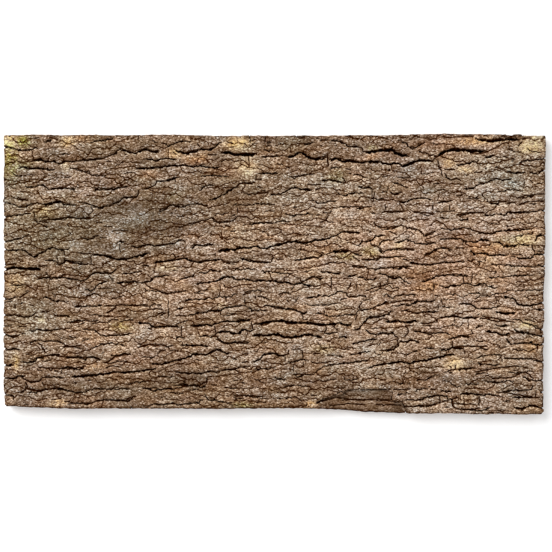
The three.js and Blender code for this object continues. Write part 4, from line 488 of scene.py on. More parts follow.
# The cracks, each a little ragged and thinner at its ends: a map of the fine ones and one of the wide
def layCracks():
    fineMarks, wideMarks = np.zeros(shape), np.zeros(shape)
    for row in cracks.replace("\n", ";").split(";"):
        numbers = [float(word) for word in row.split()]
        if not numbers:
            continue
        width, corners = numbers[0], np.array(numbers[1:]).reshape(-1, 2)
        isWide = width >= relief["wideFrom"]
        width *= relief["wideShare"] if isWide else 1
        runs = np.concatenate([[0], np.cumsum(np.linalg.norm(np.diff(corners, axis=0), axis=1))])
        length = runs[-1]
        along = np.linspace(0, length, max(4, int(length / relief["crackStride"])))
        knots = np.linspace(0, length, max(2, int(length / relief["crackKnots"])))
        spots = []
        for n in (0, 1):
            drift = np.interp(along, knots, rng.standard_normal(len(knots)))
            spots.append(np.interp(along, runs, corners[:, n]) + relief["crackWander"] * drift)
        widths = width * np.interp(along, knots, 0.8 + 0.6 * rng.random(len(knots)))
        widths *= np.clip(np.minimum(along, length - along) / relief["crackTaper"] + 0.5, 0, 1)
        u, v = sharesAt(*spots)
        marks = wideMarks if isWide else fineMarks
        pressCrack(marks, u * (shape[1] - 1), v * (shape[0] - 1), widths)
    return smoothStep(0.15, 0.7, fineMarks), smoothStep(0.2, 0.75, wideMarks)


hairs = {
    "tries": 6000,
    "upright": 0.27,          # share of the hairlines that run across
    "tilt": 0.5,              # how far those lean, in radians
    "clear": (4.0, 2.2),      # free space that a new one needs: mostly, and at times
    "close": 0.06,            # share of the tries that need the smaller space only
    "longest": (56.0, 14.0),  # along and across
    "shortest": 4.0,
    "stride": 0.7,            # of a grid cell
    "width": (0.75, 1.15),
    "strength": (0.8, 1.0),
}


# Half of a hairline, from a grid place until it meets another crack, and whether it does
def growHalf(start, heading, length, met):
    turn, spot, path = 0.4 * rng.standard_normal(), np.array(start, float), []
    while len(path) * hairs["stride"] * step < length:
        turn = 0.8 * turn + 0.32 * rng.standard_normal()
        spot = spot + hairs["stride"] * np.array([np.cos(heading + turn), np.sin(heading + turn)])
        i, j = (spot + 0.5).astype(int)
        if not (0 <= i < shape[1] and 0 <= j < shape[0]):
            return path, True
        path.append(spot)
        if met[j, i]:
            return path, True
    return path, False


# Hairlines that part the plates; one that meets no other crack is left out
def growHairs(opened):
    marks = np.zeros(shape)
    met = opened > 0.4
    reaches = [round(clear / step) for clear in hairs["clear"]]
    taken = [highest(met.astype(float), reach) > 0.5 for reach in reaches]
    count = 0
    for _ in range(hairs["tries"]):
        column, row = rng.integers(4, shape[1] - 4), rng.integers(4, shape[0] - 4)
        if taken[rng.random() < hairs["close"]][row, column]:
            continue
        upright = rng.random() < hairs["upright"]
        length = hairs["longest"][upright] * (0.4 + 0.6 * rng.random()) / 2
        heading = np.pi / 2 + hairs["tilt"] * rng.standard_normal() if upright else 0.0
        first, firstMeets = growHalf((column, row), heading, length, met)
        second, secondMeets = growHalf((column, row), heading + np.pi, length, met)
        path = np.array(second[::-1] + first)
        if len(path) * hairs["stride"] * step < hairs["shortest"] or not (firstMeets or secondMeets):
            continue
        widths = np.full(len(path), rng.uniform(*hairs["width"]))
        pressCrack(marks, path[:, 0], path[:, 1], widths, rng.uniform(*hairs["strength"]))
        for i, j in np.clip((path + 0.5).astype(int), 0, (shape[1] - 1, shape[0] - 1)):
            met[j, i] = True
            for filled, reach in zip(taken, reaches):
                filled[max(0, j - reach):j + reach + 1, max(0, i - reach):i + reach + 1] = True
        count += 1
    print("hairlines grown:", count)
    return smoothStep(0.12, 0.7, marks)


# The finished face
level = bridged(cadHeight, relief["bridge"])
hollow = level - cadHeight + relief["pinch"] * grainy(1.6, 1.2, step)
fissure = smoothStep(relief["fissureFrom"], relief["fissureFull"], hollow) * (level - cadHeight > 0.15)
flakeSoft = relief["flakeSoft"]
flaked = smoothStep(*relief["flakeDepth"], np.median(level) - soften(level, flakeSoft, flakeSoft, step))
besideFlake = smoothStep(0.05, 0.4, soften(flaked, flakeSoft, flakeSoft, step))
fissure *= 1 - relief["flakeCalm"] * besideFlake
fine, wide = layCracks()
wide *= 1 - 0.9 * fissure
fissure = np.maximum(fissure, wide)
hair = growHairs(np.maximum(fissure, fine))
fine = np.maximum(fine * (1 - fissure), 0)
hair = hair * (1 - fissure) * (1 - fine)
gaps = np.maximum(fissure, 0.6 * fine)
edgeReach = relief["edgeReach"]
lipRows = round(relief["lipShift"] / step)
worn = soften(gaps, edgeReach, edgeReach, step) * (1 - fissure)
# painted shade on the plates' lower lips just above each crack, which face away from the lamp
lipShade = soften(np.roll(fissure, lipRows, 0), edgeReach, edgeReach, step) * (1 - fissure)
# painted highlight on the plates' upper edges just below each crack, where the lamp catches them
paintedHighlight = soften(np.roll(gaps, -lipRows, 0), edgeReach, 0.6 * edgeReach, step) * (1 - fissure)
brown = soften(np.max([fissure, fine, 0.7 * hair], 0), 0.8, 0.8, step)
ledge = sum(height * smoothStep(-relief["ledgeEdge"], relief["ledgeEdge"], grainy(along, across, step))
            for along, across, height in relief["ledges"])
ledgeShade = np.clip(np.gradient(ledge, step, axis=0) / 0.15, 0, 1)   # painted shade on ledges that face -Y, away from the lamp
gapToSide = {
    "left": gridU * spanX,
    "right": (1 - gridU) * spanX,
    "lower": gridV * spanY,
    "upper": (1 - gridV) * spanY,
}
# the face rounds down towards the border; the same drop darkens the colour as painted shade, most on the
# right and lower sides
rimDropAndShade = np.max([relief["rollOff"][name] * np.exp(-(gap / relief["rollReach"]) ** 2)
              for name, gap in gapToSide.items()], 0)
groove = relief["steepen"] * np.maximum(level - cadHeight - relief["shoulder"], 0)
groove *= 1 - relief["flakeFill"] * besideFlake
faceZ = level - groove - relief["edgeRound"] * worn - rimDropAndShade
faceZ -= relief["hairDepth"] * hair + relief["fineDepth"] * fine + relief["wideDepth"] * wide
faceZ += ledge - ledge.mean()
for along, across, height in relief["grain"]:
    faceZ += height * grainy(along, across, step)
faceZ = np.clip(faceZ, relief["lowest"], cad.high[2] + relief["headroom"])
print("relief made")


# Rounds the corners of the grid's outline
def roundCorners(x, y):
    radius = slab["cornerRadius"]
    for signX, edgeX in ((-1, faceX[:, 0]), (1, faceX[:, -1])):
        for signY, edgeY in ((-1, faceY[0]), (1, faceY[-1])):
            cornerX = edgeX[0 if signY < 0 else -1] - signX * radius
            cornerY = edgeY[0 if signX < 0 else -1] - signY * radius
            a = (x - cornerX) * signX / radius
            b = (y - cornerY) * signY / radius
            near = (a > 0) & (b > 0)
            a = np.clip(a, 0, 1)
            b = np.clip(b, 0, 1)
            x = np.where(near, cornerX + signX * radius * a * np.sqrt(1 - b * b / 2), x)
            y = np.where(near, cornerY + signY * radius * b * np.sqrt(1 - a * a / 2), y)
    return x, y


# Pulls the border in where fissures run out over it, and makes it a little ragged
def fretBorder(x, y):
    edges = {"left": np.s_[:, 0], "right": np.s_[:, -1], "lower": np.s_[0], "upper": np.s_[-1]}
    pull, fade = {}, {}
    for name, edge in edges.items():
        ragged = slab["fretRagged"] * grainy(1.6, 1.6, step)
        pull[name] = slab["fretPull"] * fissure[edge] + ragged[edge] - slab["outset"][name]
        fade[name] = np.clip(1 - gapToSide[name] / slab["fretReach"], 0, 1)
    x = x + pull["left"][:, None] * fade["left"]
    x = x - pull["right"][:, None] * fade["right"]
    y = y + pull["lower"] * fade["lower"]
    y = y - pull["upper"] * fade["upper"]
    return x, y


meshX, meshY = fretBorder(*roundCorners(faceX, faceY))


# The bark face as a grid
def buildFace():
    points = np.stack([meshX, meshY, faceZ], -1).reshape(-1, 3) * mm
    ids = np.arange(meshX.size).reshape(shape)
    quads = np.stack([ids[:-1, :-1], ids[:-1, 1:], ids[1:, 1:], ids[1:, :-1]], -1).reshape(-1, 4)
    mesh = bpy.data.meshes.new("corkBarkSlab")
    mesh.from_pydata(points.tolist(), [], quads.tolist())
    piece = bpy.data.objects.new("corkBarkSlab", mesh)
    bpy.context.scene.collection.objects.link(piece)
    return piece


# Thins the face, its plates first, so that the cracks keep their crisp edges and the border stays whole
def thinOut(piece):
    bpy.context.view_layer.objects.active = piece
    piece.select_set(True)
    keep = highest(np.max([fissure, fine, hair], 0), 1)
    weights = np.clip(np.round(4 * (1 - keep)) / 4, 0.05, 1)
    weights[[0, -1]] = 0
    weights[:, [0, -1]] = 0
    group = piece.vertex_groups.new(name="plates")
    for weight in np.unique(weights):
        group.add(np.flatnonzero(weights == weight).tolist(), float(weight), "REPLACE")
    faces = 2 * len(piece.data.polygons)
    thin = piece.modifiers.new("thin", "DECIMATE")
    thin.ratio = slab["triangles"] / faces
    thin.vertex_group = group.name
    thin.vertex_group_factor = slab["crackWeight"]
    bpy.ops.object.modifier_apply(modifier=thin.name)
    print("face thinned from", faces, "triangles to", len(piece.data.polygons), "faces")


# The face's border points in order, anticlockwise from above
def borderRing(mesh):
    skin = bmesh.new()
    skin.from_mesh(mesh)
    first = next(edge for edge in skin.edges if edge.is_boundary).link_loops[0]
    ring, corner = [], first
    while not ring or corner != first:
        ring.append(corner.vert.index)
        corner = corner.link_loop_next
        while not corner.edge.is_boundary:
            corner = corner.link_loop_radial_next.link_loop_next
    skin.free()
    return ring


# Closes the face with sawn sides and a flat back
def closeSlab(piece):
    mesh = piece.data
    ring = borderRing(mesh)
    count, wallRows = len(ring), slab["wallRows"]
    flat = np.empty(len(mesh.vertices) * 3)
    mesh.vertices.foreach_get("co", flat)
    top = flat.reshape(-1, 3)[ring]
    tangent = np.roll(top, -3, 0)[:, :2] - np.roll(top, 3, 0)[:, :2]
    tangent /= np.linalg.norm(tangent, axis=1)[:, None]
    inward = np.stack([-tangent[:, 1], tangent[:, 0]], -1) * mm
    skin = bmesh.new()
    skin.from_mesh(mesh)
    skin.verts.ensure_lookup_table()
    upper = [skin.verts[n] for n in ring]
    for row in range(1, wallRows + 1):
        share = row / wallRows
        knots = rng.standard_normal(count // 4 + 2)
        sawn = np.interp(np.arange(count) / 4, np.arange(len(knots)), knots)
        rough = slab["sawnRough"] if row < wallRows else 0.0
        lean = slab["lean"][0] + slab["lean"][1] * share + rough * sawn
        spots = top * (1, 1, 1 - share)
        spots[:, :2] += inward * lean[:, None]
        lower = [skin.verts.new(spot) for spot in spots]
        for n in range(count):
            skin.faces.new((lower[n - 1], lower[n], upper[n], upper[n - 1]))
        upper = lower
    skin.faces.new(upper[::-1])
    bmesh.ops.triangulate(skin, faces=[face for face in skin.faces if len(face.verts) > 3])
    skin.to_mesh(mesh)
    skin.free()
    print("slab closed,", len(mesh.polygons), "triangles")


slabPiece = buildFace()
thinOut(slabPiece)
closeSlab(slabPiece)
for polygon in slabPiece.data.polygons:
    polygon.use_smooth = True
slabPiece.data.set_sharp_from_angle(angle=np.radians(slab["sharpAngle"]))

# Stains on the face: place and reach in millimetres, then strength
stains = {
    "cream": [
        (-294, 147, 7, 7, 1.2), (-279, 147, 7, 5, 0.3), (-230, 146, 9, 7, 0.55), (-232, 119, 4, 5, 0.7),
        (-224, 110, 2, 2, 0.9), (-112, 134, 8, 6, 0.6), (-88, 129, 13, 5, 0.15),
        (-40, 144, 14, 8, 0.88), (-33, 120, 13, 10, 0.6), (-30, 114, 7, 7, 0.8), (-119, 7, 14, 4, 0.7),
        (284, 142, 14, 10, 0.76), (286, 152, 13, 2, 0.9), (220, 147, 24, 4, 0.4), (192, 123, 6, 5, 0.5),
        (210, 116, 9, 3, 0.6), (138, 32, 6, 4, 0.6), (240, 16, 7, 3, 0.4), (270, 38, 20, 6, 0.25),
        (277, -56, 10, 5, 0.8), (199, -100, 12, 7, 0.75), (40, -144, 6, 3.5, 0.55),
        (105, -124, 9, 3, 0.3), (-288, -12, 11, 11, 0.4), (-259, -50, 3, 4, 0.9),
        (-287, -97, 4, 8, 1.0), (-198, -103, 9, 4, 0.3), (-239, -142, 8, 4, 0.58),
        (-119.5, -64, 5, 4, 0.35), (-59, -34, 4, 3, 0.6),
    ],
    "moss": [
        (-278.5, 147, 7, 6, 1.2), (-294, 125, 8, 18, 0.95), (-280, 122, 9, 5, 0.4),
        (-256, 68, 11, 7, 0.3), (-112, 85, 8, 6, 0.3), (107, 140, 5, 3, 0.6), (68, 109, 9, 7, 0.4),
        (106, 25, 10, 6, 0.5), (78, 20, 10, 4, 0.5), (270, 38, 20, 6, 0.3), (277, -56, 10, 5, 0.1),
        (56, -83, 12, 5, 0.3), (-170, -58, 11, 5, 0.5), (-36, -145, 10, 4, 0.7),
        (284, 142, 14, 10, 0.1),
    ],
    "rust": [
        (-230, 146, 7, 7, 0.5), (-215, 151, 7, 3, 0.7), (-256, 68, 11, 7, 0.3), (-112, 134, 8, 6, 0.5),
        (-88, 128, 15, 6, 0.9), (-141, 110, 11, 5, 0.5), (-40, 146, 12, 5, 0.5),
        (-56, 114, 17, 13, 0.3), (220, 147, 24, 4, 0.6), (192, 123, 8, 6, 0.75), (210, 116, 10, 4, 0.5),
        (108, 130, 12, 3.5, 0.7), (231, 29, 18, 7, 0.45), (218, 15, 4, 2, 0.6), (199, -100, 12, 7, 0.3),
        (160, -2, 14, 5, 0.5), (167, -13, 12, 6, 0.6), (286, -80, 9, 9, 0.5), (291, -104, 5, 5, 0.5),
        (40, -144, 6, 3.5, 1.0), (105, -124, 9, 3, 0.5), (-288, -12, 11, 11, 0.4),
        (-170, -58, 11, 5, 0.3), (-206, -71, 13, 8, 0.6), (-287, -97, 4, 8, 0.4),
        (-198, -103, 11, 5, 0.7), (-239, -142, 8, 4, 0.5), (-295, -138, 5, 5, 0.4),
    ],
    "grey": [
        (0, 125, 320, 40, 0.4), (-190, 70, 70, 50, 0.8), (-130, 62, 46, 36, 1.1),
        (-230, -10, 50, 30, 0.3), (-250, 110, 45, 30, 0.5), (42, 151, 16, 3, 0.6), (53, 90, 8, 9, 0.5),
        (-197, -3, 12, 6, 0.5), (-123, -49, 13, 10, 0.7), (-90, -115, 16, 6, 0.7),
        (-240, -125, 35, 12, 0.5), (215, -118, 18, 6, 0.5),
    ],
    "lichen": [
        (-212, 90, 7, 4, 0.6), (-209, 71, 7, 5, 0.6), (-177, 44, 9, 7, 1.0), (-150, 64, 10, 8, 0.7),
        (-170, 63, 10, 5, 0.4), (-222, 31, 8, 7, 0.75), (-29, 119, 14, 9, 0.4),
        (-119.5, -64, 5, 4, 0.9), (-295, 147, 5, 5, 0.3), (199, -100, 12, 7, 0.4),
    ],
}

# Broad lighter and darker places, and ruddier or greener ones: place, reach, strength
shades = [
    # the dark zone at the upper left and the dark patch beside it
    (-190, 62, 120, 60, -1.9), (-228, 92, 40, 28, 1.1), (-135, 58, 28, 26, -1.1),
    (-57, 88, 36, 26, -2.1), (8, 74, 36, 26, -0.9), (-285, 105, 16, 20, -1.0),
    # along the top
    (-100, 135, 210, 22, -1.0), (-105, 143, 40, 10, -1.2), (-212, 143, 18, 11, 0.8),
    (20, 143, 50, 13, -1.3), (140, 142, 50, 11, -1.6), (172, 122, 24, 24, -0.8),
    (243, 142, 22, 12, 1.4),
    # the paler right half
    (245, 75, 34, 34, 1.9), (160, 60, 32, 22, 1.4), (75, 55, 40, 18, 1.2), (120, 30, 120, 55, 1.0),
    (260, 10, 70, 60, 0.9), (207, 24, 20, 12, -1.3), (160, -2, 14, 5, -1.9), (60, -28, 26, 36, 1.3),
    (220, -57, 50, 27, 2.6), (200, -50, 90, 35, 0.6), (288, -65, 18, 45, -0.9), (115, -85, 40, 20, 1.6),
    # the left half below the dark zone
    (-264, -12, 34, 34, -1.2), (-168, -34, 22, 16, -1.2), (-123, -49, 13, 10, -0.8),
    (-126, -11, 30, 20, 1.5), (-160, -74, 30, 24, 1.4), (-15, -92, 70, 14, 1.5),
    # along the bottom, with the flaked place last: its darker bark and the painted shade under its lip
    # and at its right corner
    (-110, -112, 130, 30, -1.0), (-98, -123, 52, 12, -1.9), (-252, -125, 60, 28, -1.5),
    (42, -120, 46, 16, -1.3), (145, -121, 46, 12, -1.2), (285, -119, 18, 15, -1.0),
    (-150, -145, 200, 12, -0.8), (-240, -150, 30, 8, 1.0), (-38, -149, 30, 9, -1.6),
    (200, -150, 34, 9, 2.5), (58, -143, 12, 7, -2.7), (138, -147, 10, 8, -3.4),
    (122, -132, 12, 8, -1.7), (112, -149, 16, 5, -0.9),
]
hues = [
    (180, 10, 100, 60, 1.6), (-240, 45, 75, 40, -2.6), (-90, -10, 60, 30, 0.8), (190, 145, 40, 12, 1.5),
    (-200, 140, 80, 20, -1.0), (20, 90, 110, 28, -1.2), (250, 105, 50, 24, -1.5),
    (-268, -48, 36, 26, -1.5), (-285, 100, 26, 26, -1.0), (19, 142, 20, 10, -2.0),
    (-140, 60, 50, 35, -0.8), (-165, -88, 50, 16, 0.8), (200, -63, 60, 18, 0.7),
    (-290, 30, 28, 110, -0.45), (60, 80, 100, 60, 0.4), (-110, -130, 110, 25, -0.4),
    (150, -120, 110, 40, 0.3),
]


# Random lighter, warmer and ruddier plates: grain along and across, then strength
plateTones = {
    "tone": ((7, 3, 0.5), (28, 14, 0.3)),
    "warm": ((6, 3, 0.5), (25, 14, 0.2)),
    "ruddy": ((6, 3, 0.4),),
}

# Where the sawn sides and the back begin, in millimetres: off the border, below the face, off the floor
sawn = {"band": 3.0, "from": 0.6, "fade": 1.4, "back": 2.0}


# Writes the maps that the finish reads as point attributes of the slab
def paintMaps(piece):
    mesh = piece.data
    spots = np.empty(len(mesh.vertices) * 3)
    mesh.vertices.foreach_get("co", spots)
    x, y, z = (spots.reshape(-1, 3) / mm).T
    u, v = sharesAt(x, y)
    border = np.minimum(np.minimum(u, 1 - u) * spanX, np.minimum(v, 1 - v) * spanY)
    below = readMap(faceZ, u, v) - z
    atBorder = np.clip((below - sawn["from"]) / sawn["fade"], 0, 1)
    side = np.where(border < sawn["band"], atBorder, (below > sawn["band"]) * (z < sawn["back"]))

    faceMaps = {
        "fissure": fissure,
        "hair": np.maximum(hair, fine),
        # painted highlight below the cracks
        "paintedHighlight": paintedHighlight,
        # painted shade above the cracks and on ledges that face away from the lamp
        "lipShade": np.maximum(lipShade, 0.5 * ledgeShade),
        "brown": brown,
        # painted shade along the rounded border
        "rimDropAndShade": rimDropAndShade,
        "flaked": flaked,
    }
    maps = {name: readMap(field, u, v) * (1 - side) for name, field in faceMaps.items()}
    for name, grains in plateTones.items():
        field = sum(strength * grainy(along, across, step) for along, across, strength in grains)
        maps[name] = readMap(field, u, v)
    # the listed patches add to the tone; those at the flaked place are partly painted shade
    for name, patches in (("tone", shades), ("ruddy", hues)):
        for px, py, reachX, reachY, strength in patches:
            maps[name] += strength * np.exp(-((x - px) / reachX) ** 2 - ((y - py) / reachY) ** 2)
    for name, patches in stains.items():
        mask = np.zeros(len(x))
        for px, py, reachX, reachY, strength in patches:
            apart = ((x - px) / reachX) ** 2 + ((y - py) / reachY) ** 2
            mask = np.maximum(mask, strength * np.exp(-0.7 * apart ** 1.5))
        maps[name] = mask * (1 - side)
    maps["side"] = side
    for name, values in maps.items():
        layer = mesh.attributes.new(name, "FLOAT", "POINT")
        layer.data.foreach_set("value", np.ascontiguousarray(values, dtype=np.float32))


rng = np.random.default_rng(slab["finishSeed"])
paintMaps(slabPiece)
print("maps painted")


# Shorthand for shader nodes
class Finish:
    def __init__(self, name):
        self.material = bpy.data.materials.new(name)
        self.material.use_nodes = True
        self.tree = self.material.node_tree
        self.shader = self.tree.nodes["Principled BSDF"]

    def node(self, kind, **settings):
        made = self.tree.nodes.new(kind)
        for key, value in settings.items():
            setattr(made, key, value)
        return made

    def plug(self, socket, value):
        if isinstance(value, bpy.types.NodeSocket):
            self.tree.links.new(value, socket)
        else:
            socket.default_value = value

    def math(self, operation, *values):
        made = self.node("ShaderNodeMath", operation=operation)
        for socket, value in zip(made.inputs, values):
            self.plug(socket, value)
        return made.outputs[0]

    def attribute(self, name):
        return self.node("ShaderNodeAttribute", attribute_name=name).outputs["Fac"]

    def place(self, stretch):
        spot = self.node("ShaderNodeTexCoord").outputs["Object"]
        scaled = self.node("ShaderNodeMapping")
        self.plug(scaled.inputs["Vector"], spot)
        scaled.inputs["Scale"].default_value = stretch
        return scaled.outputs["Vector"]

    def noise(self, scale, detail=2.0, roughness=0.5, stretch=(1, 1, 1)):
        made = self.node("ShaderNodeTexNoise")
        self.plug(made.inputs["Vector"], self.place(stretch))
        made.inputs["Scale"].default_value = scale
        made.inputs["Detail"].default_value = detail
        made.inputs["Roughness"].default_value = roughness
        return made.outputs["Fac"]

    def cells(self, scale, stretch=(1, 1, 1)):
        made = self.node("ShaderNodeTexVoronoi")
        self.plug(made.inputs["Vector"], self.place(stretch))
        made.inputs["Scale"].default_value = scale
        return made.outputs["Distance"]

    # one random value for each small cell
    def grains(self, scale, stretch=(1, 1, 1)):
        made = self.node("ShaderNodeTexVoronoi")
        self.plug(made.inputs["Vector"], self.place(stretch))
        made.inputs["Scale"].default_value = scale
        split = self.node("ShaderNodeSeparateColor")
        self.plug(split.inputs[0], made.outputs["Color"])
        return split.outputs[0]

    # start plus each value, less its middle, times its weight
    def sum(self, start, *parts):
        total = start
        for value, middle, weight in parts:
            total = self.math("MULTIPLY_ADD", self.math("SUBTRACT", value, middle), weight, total)
        return total

    def ramp(self, share, stops):
        made = self.node("ShaderNodeValToRGB")
        bar = made.color_ramp.elements
        while len(bar) < len(stops):
            bar.new(0.5)
        for element, (spot, colour) in zip(bar, stops):
            element.position = spot
            element.color = paint(colour)
        self.plug(made.inputs["Fac"], share)
        return made.outputs["Color"]

    def between(self, share, first, second, blend="MIX"):
        made = self.node("ShaderNodeMix", data_type="RGBA", blend_type=blend)
        self.plug(made.inputs[0], share)
        self.plug(made.inputs[6], first)
        self.plug(made.inputs[7], second)
        return made.outputs[2]

    def within(self, value, low, high, toLow=0.0, toHigh=1.0):
        made = self.node("ShaderNodeMapRange")
        for socket, setting in zip(made.inputs, (value, low, high, toLow, toHigh)):
            self.plug(socket, setting)
        return made.outputs[0]


# Display colour, 0 to 255, as a shader colour
def paint(colour):
    shares = np.array(colour) / 255
    linear = np.where(shares <= 0.04045, shares / 12.92, ((shares + 0.055) / 1.055) ** 2.4)
    return (*linear.tolist(), 1.0)


barkLook = {
    "grains": [   # from the darkest to the palest
        (30, 6, 0), (60, 29, 5), (107, 80, 55), (132, 106, 83), (158, 131, 106), (196, 169, 145),
        (240, 222, 201),
    ],
    "stains": {   # what a full stain does to the lightness, then to red, green and blue
        "cream": (0.46, 0.04, 0.02, -0.3),
        "lichen": (0.34, -0.04, 0.02, 0.15),
        "moss": (0.0, -0.08, 0.06, -0.55),
        "rust": (0.05, 0.2, -0.1, -0.42),
        "grey": (-0.05, -0.065, 0.01, 0.13),
        "flaked": (-0.06, -0.03, 0.0, 0.04),
        "brown": (0.0, 0.02, -0.1, -0.25),    # beside the cracks
    },
    "tints": ((0.034, 0.028), (-0.022, -0.028), (-0.105, -0.045)),   # red, green, blue: if warm, if ruddy
    "noise": {   # size, detail, roughness, stretch
        "fine": (1400, 2, 0.7, (0.45, 1, 1)),
        "middle": (330, 3, 0.65, (0.4, 1, 1)),
        "patch": (300, 3, 0.7, (1, 1, 1)),
        "streaks": (1, 3, 0.6, (60, 700, 700)),   # of the flaked place
        "layers": (1, 3, 0.6, (30, 30, 700)),     # of the sawn sides
        "mottle": (120, 3, 0.6, (1, 1, 1)),
    },
    "crumbs": (1200, (0.5, 1, 1)),
    "pores": (220, (0.6, 0.6, 1)),
    "sawn": [(0.2, (74, 52, 36)), (0.5, (134, 102, 76)), (0.8, (182, 150, 118))],
    "poreColour": (58, 38, 25),
    "bumpStrength": 0.5,
    "bumpDepth": 0.6,
    "roughness": 0.94,
}


def makeBark():
    look = barkLook
    bark = Finish("corkBark")
    noise = {name: bark.noise(*settings) for name, settings in look["noise"].items()}
    crumbs = bark.grains(*look["crumbs"])
    flecks = bark.within(crumbs, 0.84, 0.97)
    patch = bark.within(noise["patch"], 0.3, 0.55)
    stain = {name: bark.math("MULTIPLY", bark.attribute(name), patch) for name in stains}
    stain["flaked"] = bark.attribute("flaked")
    stain["brown"] = bark.attribute("brown")

    # lighter and darker grains, dark in the cracks, with a painted highlight below the cracks and painted
    # shade above them, on ledges that face away from the lamp and along the rounded border
    tone = bark.attribute("tone")
    speckle = bark.sum(0.0, (noise["fine"], 0.5, 1.8), (crumbs, 0.5, 0.65), (flecks, 0, 0.22))
    speckle = bark.math("MULTIPLY", speckle, bark.within(tone, -3.0, 1.5, 0.65, 1.1))
    speckle = bark.math("MULTIPLY", speckle, bark.within(stain["flaked"], 0, 1, 1, 0.6))
    streaks = bark.math("MULTIPLY", stain["flaked"], bark.math("SUBTRACT", noise["streaks"], 0.5))
    share = bark.sum(0.5, (speckle, 0, 1), (noise["middle"], 0.5, 0.08), (tone, 0, 0.05),
                     (bark.attribute("paintedHighlight"), 0, 0.2), (bark.attribute("lipShade"), 0, -0.06),
                     (bark.attribute("rimDropAndShade"), 0, -0.2), (streaks, 0, 0.7),
                     *((stain[name], 0, change[0]) for name, change in look["stains"].items()))
    depth = bark.math("MAXIMUM", bark.within(bark.attribute("hair"), 0.2, 0.7, 0, 0.9),
                      bark.within(bark.attribute("fissure"), 0.25, 0.75, 0, 0.88))
    share = bark.math("MULTIPLY", bark.math("MAXIMUM", share, 0.0), bark.math("SUBTRACT", 1.0, depth))
    redLow, redHigh = look["grains"][0][0], look["grains"][-1][0]
    stops = [((grain[0] - redLow) / (redHigh - redLow), grain) for grain in look["grains"]]
    colour = bark.ramp(share, stops)

    # some plates are warmer, some greyer, ruddier or greener, and the stains add their own hue
    warm, ruddy = bark.attribute("warm"), bark.attribute("ruddy")
    tint = bark.node("ShaderNodeCombineColor")
    for n, (warmth, redness) in enumerate(look["tints"]):
        changes = [(stain[name], 0, change[n + 1]) for name, change in look["stains"].items()]
        bark.plug(tint.inputs[n], bark.sum(1.0, (warm, 0, warmth), (ruddy, 0, redness), *changes))
    colour = bark.between(1.0, colour, tint.outputs[0], "MULTIPLY")

    # the sawn sides and the back
    pores = bark.within(bark.cells(*look["pores"]), 0.14, 0.34)
    cut = bark.sum(0.48, (noise["layers"], 0.5, 0.8), (noise["mottle"], 0.5, 0.7),
                   (noise["fine"], 0.5, 0.9), (crumbs, 0.5, 0.25))
    poreShare = bark.math("MULTIPLY", bark.math("SUBTRACT", 1.0, pores), 0.75)
    cutColour = bark.between(poreShare, bark.ramp(cut, look["sawn"]), paint(look["poreColour"]))
    colour = bark.between(bark.attribute("side"), colour, cutColour)

    bump = bark.node("ShaderNodeBump")
    bump.inputs["Strength"].default_value = look["bumpStrength"]
    bump.inputs["Distance"].default_value = look["bumpDepth"] * mm
    height = bark.sum(0.0, (noise["fine"], 0, 0.7), (noise["middle"], 0, 0.3), (crumbs, 0, 0.3))
    bark.plug(bump.inputs["Height"], height)
    bark.plug(bark.shader.inputs["Base Color"], colour)
    bark.plug(bark.shader.inputs["Normal"], bump.outputs["Normal"])
    bark.shader.inputs["Roughness"].default_value = look["roughness"]
    bark.shader.inputs["Specular IOR Level"].default_value = 0.0
    return bark.material


slabPiece.data.materials.append(makeBark())
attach(slabPiece, "root")
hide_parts(slab["node"])
print("bark finished")

# The stage: white floor, soft light from the upper left, camera straight above
stage = {
    "floorSize": 8.0,
    "floorShade": 0.95,
    "floorRoughness": 0.9,
    "floorGlow": 0.23,
    "sky": 0.55,
    "lampPlace": (-1.3, 1.25, 2.05),
    "lampSize": 2.2,
    "lampPower": 62.0,
}


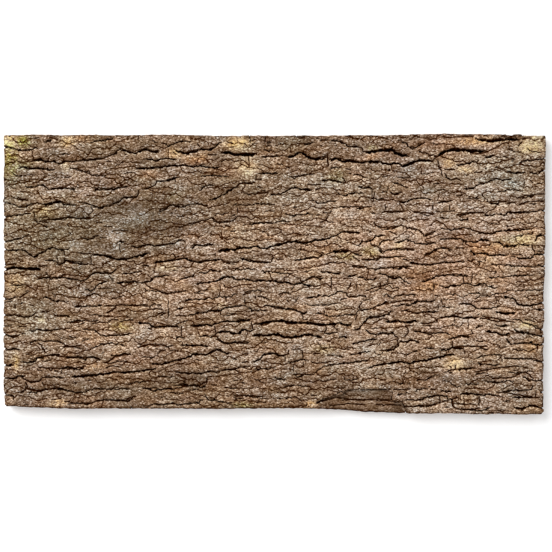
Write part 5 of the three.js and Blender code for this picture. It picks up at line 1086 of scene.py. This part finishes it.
def makeFloor():
    half = stage["floorSize"] / 2
    mesh = bpy.data.meshes.new("floor")
    corners = [(-half, -half, 0), (half, -half, 0), (half, half, 0), (-half, half, 0)]
    mesh.from_pydata(corners, [], [(0, 1, 2, 3)])
    floor = bpy.data.objects.new("floor", mesh)
    bpy.context.scene.collection.objects.link(floor)
    white = Finish("floorWhite")
    white.shader.inputs["Base Color"].default_value = (*[stage["floorShade"]] * 3, 1)
    white.shader.inputs["Roughness"].default_value = stage["floorRoughness"]
    white.shader.inputs["Specular IOR Level"].default_value = 0.0
    white.shader.inputs["Emission Color"].default_value = (1, 1, 1, 1)
    white.shader.inputs["Emission Strength"].default_value = stage["floorGlow"]
    mesh.materials.append(white.material)


def makeLights():
    data = bpy.data.lights.new("softLamp", "AREA")
    data.shape = "DISK"
    data.size = stage["lampSize"]
    data.energy = stage["lampPower"]
    lamp = bpy.data.objects.new("softLamp", data)
    lamp.location = stage["lampPlace"]
    lamp.rotation_mode = "QUATERNION"
    lamp.rotation_quaternion = (-Vector(stage["lampPlace"])).to_track_quat("-Z", "Y")
    bpy.context.scene.collection.objects.link(lamp)
    world = bpy.data.worlds.new("studio")
    world.use_nodes = True
    world.node_tree.nodes["Background"].inputs["Color"].default_value = (1, 1, 1, 1)
    world.node_tree.nodes["Background"].inputs["Strength"].default_value = stage["sky"]
    bpy.context.scene.world = world
    bpy.context.scene.view_settings.view_transform = "Standard"


camera = {
    "imageSize": 552,
    "slabWidthPixels": 541.9,       # length of the slab in the picture
    "centrePixel": (275.1, 274.35),  # middle of the slab in the picture
    "focusShare": 0.92,              # height of the bark face, as a share of the slab's
    "lens": 100.0,
    "sensor": 36.0,
}


def makeCamera():
    size = camera["imageSize"]
    scale = spanX * mm / camera["slabWidthPixels"]   # metres a pixel
    data = bpy.data.cameras.new("camera")
    data.lens = camera["lens"]
    data.sensor_width = camera["sensor"]
    viewer = bpy.data.objects.new("camera", data)
    away = size * scale * camera["lens"] / camera["sensor"]
    pixelX, pixelY = camera["centrePixel"]
    height = away + cad.high[2] * camera["focusShare"] * mm
    viewer.location = ((size / 2 - pixelX) * scale, (pixelY - size / 2) * scale, height)
    bpy.context.scene.collection.objects.link(viewer)
    bpy.context.scene.camera = viewer


makeFloor()
makeLights()
makeCamera()
print("stage set")
